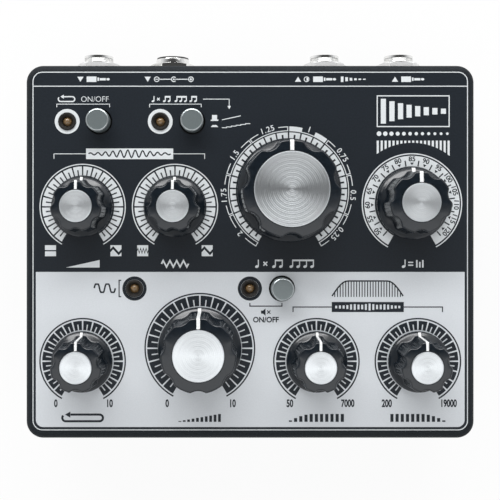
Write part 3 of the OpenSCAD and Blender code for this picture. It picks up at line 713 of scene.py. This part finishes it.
def wave_icon(x, y, cycles, swing, gap):
    """A silver square with a dark wave across it, or a dark gap where there is no wave."""
    half = 1.75
    left, right, low, high = x - half, x + half, y - half, y + half
    if cycles == 0:
        silver.fill(rectangle(left, y + gap, right, high))
        silver.fill(rectangle(left, low, right, y - gap))
        return
    path = zigzag(left, right, y, swing, cycles)
    silver.fill([(px, py + gap) for px, py in path] + [(right, high), (left, high)])
    silver.fill([(left, low), (right, low)] + [(px, py - gap) for px, py in path[::-1]])


# The panel's print, from the rear to the front


def print_header():
    """Signs over the sockets, with arrows into the first two and out of the others."""
    y = (HEADER_Y + FRAME_REAR - FRAME_LINE) / 2 + 0.05
    height = 1.75
    arrow_w, arrow_h = 2.0, 1.6
    plug_l, polarity_l = 7.4, 12.6
    input_x, power_x, mix_x, output_x = -54.0, -32.6, 15.2, 46.0
    for x in (input_x, power_x):
        triangle(silver, x, y, arrow_w, -arrow_h)
    for x in (mix_x, output_x):
        triangle(silver, x, y, arrow_w, arrow_h)
    plug(silver, input_x + arrow_w, y, plug_l, height)
    polarity(silver, power_x + arrow_w, y, polarity_l, height)
    half_moon(silver, 17.9, y, height / 2)
    plug(silver, 20.0, y, plug_l, height)
    fading_bars(silver, 28.8, 36.6, y, height, count=6, fade=0.72)
    plug(silver, output_x + arrow_w, y, plug_l, height)


def print_press_signs():
    """Beside the mode button: out, with an even slope, and pressed in, with a stair."""
    x, half_base, half_cap, half_flat = -11.35, 1.2, 0.8, 0.6
    out_y, in_y = 42.6, 40.1
    silver.fill(rectangle(x - half_cap, out_y - 0.55, x + half_cap, out_y + 0.95))
    silver.fill(rectangle(x - half_base, out_y - 0.95, x + half_base, out_y - 0.5), lift=CROSS_LIFT)
    silver.fill([
        (x - half_base, in_y - 0.4), (x + half_base, in_y - 0.4),
        (x + half_flat, in_y + 0.25), (x - half_flat, in_y + 0.25),
    ])
    start, slope_end = -9.0, -3.0
    fall, rise = 0.6, 0.7
    silver.line([(start, out_y - fall), (slope_end, out_y + rise)], 0.26)
    steps, tread, step_h = 5, 1.5, 0.26
    stair = [(start, in_y - fall)]
    for k in range(steps):
        edge = start + tread * (k + 1)
        stair.append((edge, in_y - fall + step_h * k))
        stair.append((edge, in_y - fall + step_h * (k + 1)))
    silver.line(stair + [(start + tread * (steps + 1), in_y + rise)], 0.24)


def print_buttons():
    """Marks round the loop and mode buttons."""
    label_y, label_h = 48.6, 1.9
    line_y, drop = 47.0, -1.0
    loop_arrow(silver, -61.2, -55.6, label_y, label_h, 0.38)
    silver.figure("ON/OFF", -49.4, label_y, 1.7, squeeze=0.98, bold=-0.01)
    bracket(silver, -61.5, -44.7, line_y, drop, SILVER_LINE)
    note(silver, -30.6, label_y, label_h)
    cross(silver, -29.2, label_y, 0.4, 0.3)
    for x, count in ((-27.0, 2), (-23.3, 3), (-18.6, 2)):
        beamed_notes(silver, x, 1.5, count, label_y, label_h)
    bracket(silver, -32.0, -15.6, line_y, drop, SILVER_LINE)
    arrow_x, arrow_y, arrow = -6.7, 45.9, 1.1
    silver.line([(-15.0, label_y), (arrow_x, label_y), (arrow_x, arrow_y + 0.5)], SILVER_LINE)
    triangle(silver, arrow_x, arrow_y, arrow, -arrow)
    print_press_signs()
    for name in ("loop", "mode"):
        silver.ring(LAMP_AT[name], CLIP_R + RING_GAP, 3.95)


def print_modulation():
    """The boxed heading over the depth and rate dials, and the wave marks at their ends."""
    left, low, right, high = -52.2, 29.5, -24.5, 32.9
    margin = 0.8
    path = wave(left + margin, right - margin, (low + high) / 2, 2.4, cycles=11, count=96, quiet=0.25)
    heading(silver, (left, low, right, high), (-62.4, -14.5), SILVER_LINE, [stroke(path, 0.42)])
    icon_y = 0.4
    wave_icon(-63.5, icon_y, cycles=0, swing=0.0, gap=0.2)
    wave_icon(-34.2, icon_y, cycles=4, swing=1.5, gap=0.36)
    for x in (-42.7, -13.7):
        wave_icon(x, icon_y, cycles=1, swing=1.9, gap=0.5)


def print_upper_signs():
    """Signs under the upper dials: a wedge, a wave, notes, and a note with its count."""
    y, half = -3.75, 1.2
    note_h, pitch = 2.6, 2.2
    x = DIAL_AT["depth"][0]
    wedge = 5.4
    silver.fill([(x - wedge, y - half), (x + wedge, y - half), (x + wedge, y + half)])
    x = DIAL_AT["rate"][0]
    silver.line(zigzag(x - 4.3, x + 4.3, y, height=2.0, cycles=4), 0.5)
    x = DIAL_AT["beat"][0]
    note(silver, x - 9.6, y, note_h)
    cross(silver, x - 7.4, y, 0.6, 0.42)
    beamed_notes(silver, x - 4.2, pitch, 2, y, note_h)
    beamed_notes(silver, x + 1.3, pitch, 4, y, note_h)
    x = DIAL_AT["tempo"][0]
    note(silver, x - 2.2, y, note_h)
    for level in (-0.45, 0.45):
        silver.fill(rectangle(x - 1.2, y + level - 0.2, x + 0.4, y + level + 0.2))
    for k, top in enumerate((half, half - 0.6, half)):
        left = x + 1.3 + 0.95 * k
        silver.fill(rectangle(left, y - half, left + 0.5, y + top))


def print_badge():
    """Generic bars that fade as an echo does, in a thin frame, over a row of dots."""
    left, low, right, high = BADGE
    line, margin = 0.34, 1.3
    silver.fill(rectangle(*BADGE), rectangle(left + line, low + line, right - line, high - line))
    fading_bars(silver, left + margin, right - margin, (low + high) / 2, 7.9, count=8, fade=0.8)
    count, dot_y, dot_r, shrink = 12, 37.6, 0.75, 0.95
    pitch = (right - left - 2 * dot_r) / (count - 1)
    for k in range(count):
        silver.fill(circle((left + dot_r + pitch * k, dot_y), dot_r * shrink ** k, 20))


def print_stripes():
    """A row of stripes below the dots, cut off along a curve round the tempo dial."""
    left, right = BADGE[0], BADGE[2]
    x, y = DIAL_AT["tempo"]
    top, cut_r, shortest = 35.4, 19.3, 0.15
    count, stripe = 19, 0.55
    pitch = (right - left) / (count - 1 + stripe)
    for k in range(count):
        x0 = left + pitch * k
        x1 = x0 + pitch * stripe
        foot = [y + math.sqrt(cut_r ** 2 - (edge - x) ** 2) for edge in (x0, x1)]
        if top - max(foot) > shortest:
            silver.fill([(x0, foot[0]), (x1, foot[1]), (x1, top), (x0, top)])


def print_mute_row():
    """Rings round the front lamps, and the signs of the clip lamp and the mute button."""
    for name in ("clip", "mute"):
        black.ring(LAMP_AT[name], CLIP_R + RING_GAP, 3.85)
    y = LAMP_AT["clip"][1]
    black.line(wave(-49.6, -42.9, y + 0.1, 2.6, cycles=2, count=32, clip=0.55), 0.5)
    side, tips, half = -41.7, -41.0, 2.6
    black.line([(tips, y + half), (side, y + half), (side, y - half), (tips, y - half)], BLACK_LINE)
    x = (LAMP_AT["mute"][0] + BUTTON_AT["mute"][0]) / 2
    bracket(black, x - 5.1, x + 5.1, y - 5.6, 1.0, BLACK_LINE)
    speaker(black, x - 0.3, y - 7.5, 2.3)
    black.figure("ON/OFF", x, y - 9.9, 1.8, squeeze=0.95, bold=0.03)


def print_hatched_band():
    """A line that rises, runs level and falls again, over a row of upright hatches."""
    left, low, right, high = 26.0, -14.3, 48.6, -9.0
    count, half_hatch, gap = 27, 0.15, 0.02
    pitch = (right - left) / (count - 1)
    line, knee, start = 0.45, 5.0, 0.5
    curve = []
    for k in range(count):
        x = left + pitch * k
        rise = min(1, (x - left) / knee, (right - x) / knee)
        top = low + start + (high - low - start) * math.sin(rise * math.pi / 2)
        curve.append((x, top - line / 2))
        if 0 < k < count - 1:
            black.fill(rectangle(x - half_hatch, low, x + half_hatch, top - line - gap))
    black.line(curve, line)


def print_filter_heading():
    """The boxed heading over the two filter dials, with a row of slots in it."""
    left, low, right, high = 25.9, -19.1, 48.8, -15.9
    middle = (low + high) / 2
    margin = 1.1
    count, slot = 18, 0.55
    pitch = (right - left - 2 * margin) / (count - 1 + slot)
    slots = []
    for k in range(count):
        x = left + margin + pitch * k
        swell = math.sin(math.pi * (k + 0.5) / count)
        ripple = 0.75 + 0.25 * math.cos(math.tau * k / 4.5)
        half = 0.35 + 0.75 * swell * ripple
        slots.append(rectangle(x, middle - half, x + pitch * slot, middle + half))
    heading(black, (left, low, right, high), (13.6, 61.1), BLACK_LINE, slots)


def print_lower_signs():
    """Signs under the lower dials, and the numbers at the ends of their scales."""
    y, height, response_w = -52.75, 2.5, 17.5
    x = DIAL_AT["feedback"][0]
    loop_arrow(black, x - 6.8, x + 6.8, y, 2.8, 0.68)
    x = DIAL_AT["volume"][0]
    rising_bars(black, x - 6.8, x + 7.2, y, height, 10)
    response_bars(black, DIAL_AT["high_pass"][0], y, response_w, height, rising=True)
    response_bars(black, DIAL_AT["low_pass"][0], y, response_w, height, rising=False)
    number_y, number_h = -48.1, 2.5
    numbers = (
        ("0", -61.8), ("10", -44.6), ("0", -26.4), ("10", -5.5),
        ("50", 12.6), ("7000", 31.0), ("200", 43.4), ("19000", 63.2),
    )
    for text, x in numbers:
        black.figure(text, x, number_y, number_h, squeeze=0.66, bold=0.035)


def print_panel():
    print_fields()
    for name in ("depth", "rate"):
        scale(silver, DIAL_AT[name], **UPPER_SCALE)
    beat_scale(DIAL_AT["beat"])
    tempo_scale(DIAL_AT["tempo"])
    for name in ("feedback", "high_pass", "low_pass"):
        scale(black, DIAL_AT[name], **LOWER_SCALE)
    scale(black, DIAL_AT["volume"], **VOLUME_SCALE)
    print_header()
    print_buttons()
    print_modulation()
    print_upper_signs()
    print_badge()
    print_stripes()
    print_mute_row()
    print_hatched_band()
    print_filter_heading()
    print_lower_signs()
    for ink in (dark_field, silver_field, silver, black):
        ink.piece()


# Knobs and inlays

FLUTES = 7
KNOB_POINTS = FLUTES * 40
INLAY_POINTS = 128
RIM_H = 1.5
SKIRT_RISE = math.tan(math.radians(28))
LOBE_LEAN = 0.35
TOP_FALL = math.tan(math.radians(5))
EDGE_R = 0.6
EDGE_STEPS = 6
FOOT_EDGE = 0.2
SEAT_EDGE = 0.15
SEAT_T = 1.3
CAP_GAP = 0.1
RECESS_R = 6.3
RECESS_H = 1.8
BORE_R = 3.05
CORNER_SOFT = 0.4
POINTER_PROUD = 0.025
POINTER_SUNK = 0.06

# Where the lobes meet the skirt: distance out from the lobes, and height above the slope
FILLET = ((0.55, 0), (0.32, 0), (0.15, 0.04), (0.05, 0.13), (0, 0.3))
FILLET_OUT = 0.65
POINTER_FILLET = ((0, 0.3), (0.15, 0.04))
SKIRT_EDGE = 0.25

# Lobe diameter, flute radius, flute depth and pointer width of each size of knob
KNOB_FORM = dict.fromkeys(DIALS, (16.4, 3.0, 1.0, 0.8))
KNOB_FORM["tempo"] = (19.6, 3.6, 1.0, 1.1)
KNOB_FORM["volume"] = (23.6, 4.4, 0.9, 1.05)
KNOB_FORM["beat"] = (30.6, 4.6, 1.6, 1.2)


def lobe_outline(lobe_r, flute_r, depth, turn):
    """Radius of a fluted, softened outline at an angle; one flute faces the front."""
    pitch = math.tau / FLUTES
    off = (turn - math.pi + pitch / 2) % pitch - pitch / 2
    far = lobe_r - depth + flute_r
    room = flute_r ** 2 - (far * math.sin(off)) ** 2
    if room <= 0:
        return lobe_r
    wall = far * math.cos(off) - math.sqrt(room)
    blend = max(CORNER_SOFT - abs(wall - lobe_r), 0) / CORNER_SOFT
    return min(wall, lobe_r) - blend ** 2 * CORNER_SOFT / 4


def edge_round():
    """Steps round the top edge, from wall to top: distance out and height from the sharp edge."""
    bends = [math.pi / 2 * k / EDGE_STEPS for k in range(EDGE_STEPS + 1)]
    return [(EDGE_R * (math.cos(bend) - 1), EDGE_R * (math.sin(bend) - 1)) for bend in bends]


class KnobShape:
    """Form of a skirted, fluted knob; the CAD knob and its inlay give its sizes."""

    def __init__(self, name):
        self.axis, self.floor, top, self.skirt_r = round_node(f"knob_{name}")
        _, seat, _, cap_r = round_node(f"cap_{name}")
        self.height = top - self.floor
        self.seat = seat - self.floor
        self.seat_r = cap_r + CAP_GAP
        lobe_d, flute_r, depth, self.pointer_w = KNOB_FORM[name]
        self.lobe_r = lobe_d / 2
        self.turns = [math.tau * k / KNOB_POINTS for k in range(KNOB_POINTS)]
        self.outline = [lobe_outline(self.lobe_r, flute_r, depth, turn) for turn in self.turns]

    def skirt_z(self, r):
        return RIM_H + (self.skirt_r - r) * SKIRT_RISE

    def top_z(self, r):
        return self.height - (r - self.seat_r) * TOP_FALL

    def round_rings(self, profile):
        return upright_rings(self.axis, [(r, self.floor + z) for r, z in profile], KNOB_POINTS)

    def lobe_rings(self, surface, steps, lean=0.0):
        """The lobes' outline, set out and lifted from a sloping surface by each of the steps."""
        rings = []
        for out, lift in steps:
            radii = [r + (out - lean) for r in self.outline]
            heights = [self.floor + surface(r) + lift for r in radii]
            rings.append([turned(self.axis, *place) for place in zip(radii, self.turns, heights)])
        return rings

    def surface(self):
        """Rings from the bore over the skirt, the lobes and the top to the inlay's seat."""
        outer, inner = self.skirt_r, self.seat_r
        seat, top = self.seat, self.height
        fillet_r = self.lobe_r + FILLET_OUT
        lower = [
            (BORE_R, seat - SEAT_T), (BORE_R, RECESS_H), (RECESS_R, RECESS_H), (RECESS_R, 0),
            (outer - FOOT_EDGE, 0), (outer, FOOT_EDGE), (outer, RIM_H - 0.3), (outer - 0.07, RIM_H - 0.1),
            (outer - SKIRT_EDGE, self.skirt_z(outer - 0.2)), (fillet_r, self.skirt_z(fillet_r)),
        ]
        upper = [(inner + SEAT_EDGE, top), (inner, top - SEAT_EDGE), (inner, seat), (0.5, seat)]
        rings = self.round_rings(lower)
        rings += self.lobe_rings(self.skirt_z, FILLET)
        rings += self.lobe_rings(self.top_z, edge_round(), LOBE_LEAN)
        return rings + self.round_rings(upper)

    def pointer_path(self):
        """Radius and height along the pointer line, from the inlay to the skirt's edge."""
        path = [(self.seat_r + SEAT_EDGE, self.height)]
        for out, lift in reversed(edge_round()):
            r = self.lobe_r - LOBE_LEAN + out
            path.append((r, self.top_z(r) + lift))
        for out, lift in POINTER_FILLET:
            r = self.lobe_r + out
            path.append((r, self.skirt_z(r) + lift))
        end = self.skirt_r - SKIRT_EDGE
        return path + [(end, self.skirt_z(end))]

    def pointer_rows(self):
        """Cross-sections of the pointer line's thin strip of paint."""
        path = self.pointer_path()
        corners = ((-1, POINTER_PROUD), (1, POINTER_PROUD), (1, -POINTER_SUNK), (-1, -POINTER_SUNK))
        rows = []
        for k, (r, z) in enumerate(path):
            before = Vector(path[max(k - 1, 0)])
            after = Vector(path[min(k + 1, len(path) - 1)])
            along = (after - before).normalized()
            row = []
            for side, level in corners:
                x = self.axis.x + side * self.pointer_w / 2
                y = self.axis.y + r - along.y * level
                row.append(Vector((x, y, self.floor + z + along.x * level)) * MM)
            rows.append(row)
        return rows


def knob(name):
    """A fluted knob in place of the CAD one, and its white pointer line."""
    shape = KnobShape(name)
    made = dress(lathe(f"fluted_knob_{name}", shape.surface()), "knob_plastic", f"dial_{name}")
    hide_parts(f"knob_{name}")
    pointer = linked_object(f"pointer_{name}", skin(shape.pointer_rows()))
    dress(pointer, "pointer_paint", f"dial_{name}")


def inlay(name):
    """A spun inlay with fine tool rings, in place of the plain disc."""
    axis, foot, top, cap_r = round_node(f"cap_{name}")
    chamfer = 0.2
    ridge = 0.009 if name == "beat" else 0.007
    pitch, wander, wander_share = 0.55, 1.33, 0.7
    step = pitch / 6
    flat = cap_r - chamfer
    profile = [(cap_r, foot), (cap_r, top - chamfer)]
    for k in range(int(flat / step)):
        r = flat - k * step
        swell = math.sin(math.tau * r / pitch) + wander_share * math.sin(math.tau * r / wander + 1)
        profile.append((r, top + ridge * (swell - 1 - wander_share)))
    look = "spun_aluminium_large" if name == "beat" else None
    rings = upright_rings(axis, profile, INLAY_POINTS)
    made = dress(lathe(f"spun_inlay_{name}", rings), "spun_aluminium", f"dial_{name}", look)
    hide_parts(f"cap_{name}")
    return made


# Buttons

BUTTON_POINTS = 96
# Slopes of the bevel faces that take the painted highlight finish
BEVEL_STEEPEST = 0.3
BEVEL_FLATTEST = 0.97


def turned_button(name):
    """A push button with two narrow bevels round its top, hollow for the plunger; the bevels carry a
    painted highlight.
    """
    axis, foot, top, r = round_node(f"button_{name}")
    hollow_r, hollow_top = 2.7, top - 1.7
    foot_edge = 0.1
    steep_w, steep_h = 0.1, 0.16
    gentle_w, gentle_h = 0.32, 0.17
    hold = 0.04
    slope = gentle_h / gentle_w
    bevel = top - gentle_h
    inner = r - steep_w - gentle_w
    profile = [
        (hollow_r, hollow_top), (hollow_r, foot), (r - foot_edge, foot), (r, foot + foot_edge),
        (r, bevel - steep_h), (r - steep_w + hold / 2, bevel - hold),
        (r - steep_w - hold, bevel + hold * slope), (inner + hold, top - hold * slope),
        (inner - hold, top), (inner - 0.5, top),
    ]
    rings = upright_rings(axis, profile, BUTTON_POINTS)
    made = dress(lathe(f"turned_button_{name}", rings), "button_plastic", f"push_{name}")
    # The bevels are real, but their lighter metal than the top is a painted highlight round the rim
    made.data.materials.append(FINISHES["button_bevel_painted_highlight"])
    for face in made.data.polygons:
        face.material_index = 1 if BEVEL_STEEPEST < face.normal.z < BEVEL_FLATTEST else 0
    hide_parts(f"button_{name}")


# Rear sockets

SOCKET_POINTS = 96
NUT_CLEAR = 0.02


def sleeve(name, slot, node, profile):
    """A ring turned about a socket's axis; its profile gives radius and place behind the mouth."""
    low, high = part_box(node)
    middle = (low + high) / 2 / MM
    turns = [360 * k / SOCKET_POINTS for k in range(SOCKET_POINTS)]
    rings = []
    for r, along in profile:
        ring = [polar((middle.x, middle.z), r, turn) for turn in turns]
        rings.append([Vector((x, high.y / MM + along, z)) * MM for x, z in ring])
    dress(lathe(name, rings, tube=True), slot, "case")


def jack_sleeve(name):
    """End of a jack's bush: a plain ring at the nut, a thread, and a rounded collar at its mouth."""
    node = f"jack_{name}"
    bush_r, bore_r = 4.75, 3.24
    crest, root = bush_r + 0.16, bush_r - 0.02
    reach = (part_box("jack_nuts")[1].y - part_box(node)[1].y) / MM + NUT_CLEAR
    ring_l, collar_l = 0.5, 0.85
    turns = 3
    pitch = (-reach - ring_l - collar_l) / turns
    profile = [(bush_r - 0.3, reach), (crest, reach), (crest, reach + ring_l)]
    for k in range(turns):
        start = reach + ring_l + pitch * k
        profile += [(root, start + pitch * 0.95), (crest, start + pitch)]
    profile += [(crest, -0.12), (crest - 0.14, 0.02), (crest - 0.4, 0.05), (bore_r + 0.45, 0.05)]
    profile += [(bore_r + 0.2, 0.0), (bore_r, -0.25), (bore_r, -1.0), (bore_r + 0.2, -1.0)]
    sleeve(f"threaded_bush_{name}", "nickel", node, profile)


def power_sleeve():
    """Plated barrel of the power socket, and the black insert at its mouth."""
    barrel_r, bore_r = 5.5, 3.09
    reach = (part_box("power_nut")[1].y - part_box("power_socket")[1].y) / MM + NUT_CLEAR
    outer_r, inner_r = barrel_r + 0.12, barrel_r - 0.4
    shell = [
        (barrel_r - 0.3, reach), (outer_r, reach), (outer_r, -0.45), (barrel_r + 0.04, -0.2),
        (barrel_r - 0.15, -0.1), (inner_r, -0.1), (inner_r, -0.6),
    ]
    sleeve("power_barrel", "nickel", "power_socket", shell)
    rim_r = barrel_r - 0.12
    rim = [
        (rim_r, -0.3), (rim_r, 0.25), (rim_r - 0.1, 0.38), (rim_r - 0.3, 0.42), (bore_r + 0.35, 0.42),
        (bore_r + 0.08, 0.34), (bore_r, 0.15), (bore_r, -2.0), (bore_r + 0.3, -2.0), (rim_r - 0.6, -0.3),
    ]
    sleeve("power_insert", "black_plastic", "power_socket", rim)


# Stage: the camera's places are in millimetres and pixels, the rest is in metres

IMAGE_PX = 500
SENSOR_W = 36
CAMERA_HEIGHT = 300.0
CAMERA_AT = (-7.9, 8.7)
PX_PER_MM = 3.145
NADIR_PX = (225.4, 224.6)
NEAR_CLIP = 0.01
WATTS_PER_RADIANCE = 4
ROOM_COLOR = (0.8, 0.81, 0.82)
ROOM_TOP = 0.25
CEILING_COLOR = (0.06, 0.06, 0.06)
CEILING_FROM = 0.9
FLOOR_REACH = 12.0
FLOOR_GLOW = 0.93


def set_camera():
    """A camera that looks straight down, shifted to set the unit in the middle of the picture."""
    data = bpy.data.cameras.new("camera")
    data.sensor_width = SENSOR_W
    data.lens = PX_PER_MM * CAMERA_HEIGHT / IMAGE_PX * SENSOR_W
    data.shift_x = 0.5 - NADIR_PX[0] / IMAGE_PX
    data.shift_y = NADIR_PX[1] / IMAGE_PX - 0.5
    data.clip_start = NEAR_CLIP
    camera = in_scene("camera", data)
    camera.location = panel_point(*CAMERA_AT, CAMERA_HEIGHT)
    bpy.context.scene.camera = camera


def soft_box(name, place, aim, width, depth, radiance):
    """A rectangular lamp of even brightness."""
    data = bpy.data.lights.new(name, "AREA")
    data.shape = "RECTANGLE"
    data.size = width
    data.size_y = depth
    data.energy = WATTS_PER_RADIANCE * radiance * width * depth
    lamp = in_scene(name, data)
    lamp.location = place
    lamp.rotation_mode = "QUATERNION"
    lamp.rotation_quaternion = (Vector(aim) - Vector(place)).to_track_quat("-Z", "Y")
    return lamp


def keep_off(lamp, pieces):
    """Keep a lamp's glare off some of the pieces."""
    spared = bpy.data.collections.new(f"{lamp.name}_spares")
    for piece in pieces:
        spared.objects.link(piece)
    for entry in spared.collection_objects:
        entry.light_linking.link_state = "EXCLUDE"
    lamp.light_linking.receiver_collection = spared


def set_lamps(inlays):
    """A broad front lamp, a dim rear one, and a bright rear strip that spares the inlays."""
    unit = (0.0, 0.0, 0.05)
    soft_box("front_light", (0.0, -0.37, 0.9), (0.0, -0.37, 0.0), width=1.3, depth=0.64, radiance=1.06)
    soft_box("rear_light", (0.05, 0.75, 0.55), unit, width=1.8, depth=0.7, radiance=0.58)
    strip = soft_box("rear_strip", (-0.1, 0.7, 0.55), unit, width=1.15, depth=0.2, radiance=6.8)
    keep_off(strip, inlays)


def set_world():
    """A pale room under a dark ceiling."""
    world = bpy.data.worlds.new("room")
    world.use_nodes = True
    bpy.context.scene.world = world
    nodes = world.node_tree.nodes
    links = world.node_tree.links
    place = nodes.new("ShaderNodeTexCoord")
    split = nodes.new("ShaderNodeSeparateXYZ")
    links.new(place.outputs["Generated"], split.inputs["Vector"])
    ramp = tone_ramp(nodes, ROOM_TOP, ROOM_COLOR, CEILING_FROM, CEILING_COLOR)
    links.new(split.outputs["Z"], ramp.inputs["Fac"])
    links.new(ramp.outputs["Color"], nodes["Background"].inputs["Color"])


def larger(tree, first, second):
    """The larger of two values, as a socket."""
    node = tree.nodes.new("ShaderNodeMath")
    node.operation = "MAXIMUM"
    tree.links.new(first, node.inputs[0])
    tree.links.new(second, node.inputs[1])
    return node.outputs["Value"]


def floor_finish():
    """A pale finish that glows to the eye and sheds no light of its own."""
    made = finish("floor", (0.9, 0.9, 0.9), 0.7, 4.0, spread=0.01)
    tree = made.node_tree
    nodes = tree.nodes
    glow = nodes.new("ShaderNodeEmission")
    rays = nodes.new("ShaderNodeLightPath")
    seen = larger(tree, rays.outputs["Is Camera Ray"], rays.outputs["Is Glossy Ray"])
    seen = larger(tree, seen, rays.outputs["Is Transmission Ray"])
    share = nodes.new("ShaderNodeMath")
    share.operation = "MULTIPLY"
    share.inputs[1].default_value = FLOOR_GLOW
    tree.links.new(seen, share.inputs[0])
    mix = nodes.new("ShaderNodeMixShader")
    tree.links.new(share.outputs["Value"], mix.inputs["Fac"])
    tree.links.new(nodes["Principled BSDF"].outputs["BSDF"], mix.inputs[1])
    tree.links.new(glow.outputs["Emission"], mix.inputs[2])
    tree.links.new(mix.outputs["Shader"], nodes["Material Output"].inputs["Surface"])
    return made


def set_floor():
    """A floor that stays near white to the eye and keeps part of the shadow."""
    mesh = bpy.data.meshes.new("floor")
    corners = rectangle(-FLOOR_REACH, -FLOOR_REACH, FLOOR_REACH, FLOOR_REACH)
    mesh.from_pydata([(x, y, 0) for x, y in corners], [], [(0, 1, 2, 3)])
    mesh.materials.append(floor_finish())
    in_scene("floor", mesh)


def set_stage(inlays):
    bpy.context.scene.view_settings.view_transform = "Standard"
    set_camera()
    set_world()
    set_floor()
    set_lamps(inlays)


dress_cad_nodes()
print_panel()
for dial in DIALS:
    knob(dial)
inlays = [inlay(dial) for dial in DIALS]
for button in BUTTONS:
    turned_button(button)
for jack in JACKS:
    jack_sleeve(jack)
power_sleeve()
set_stage(inlays)
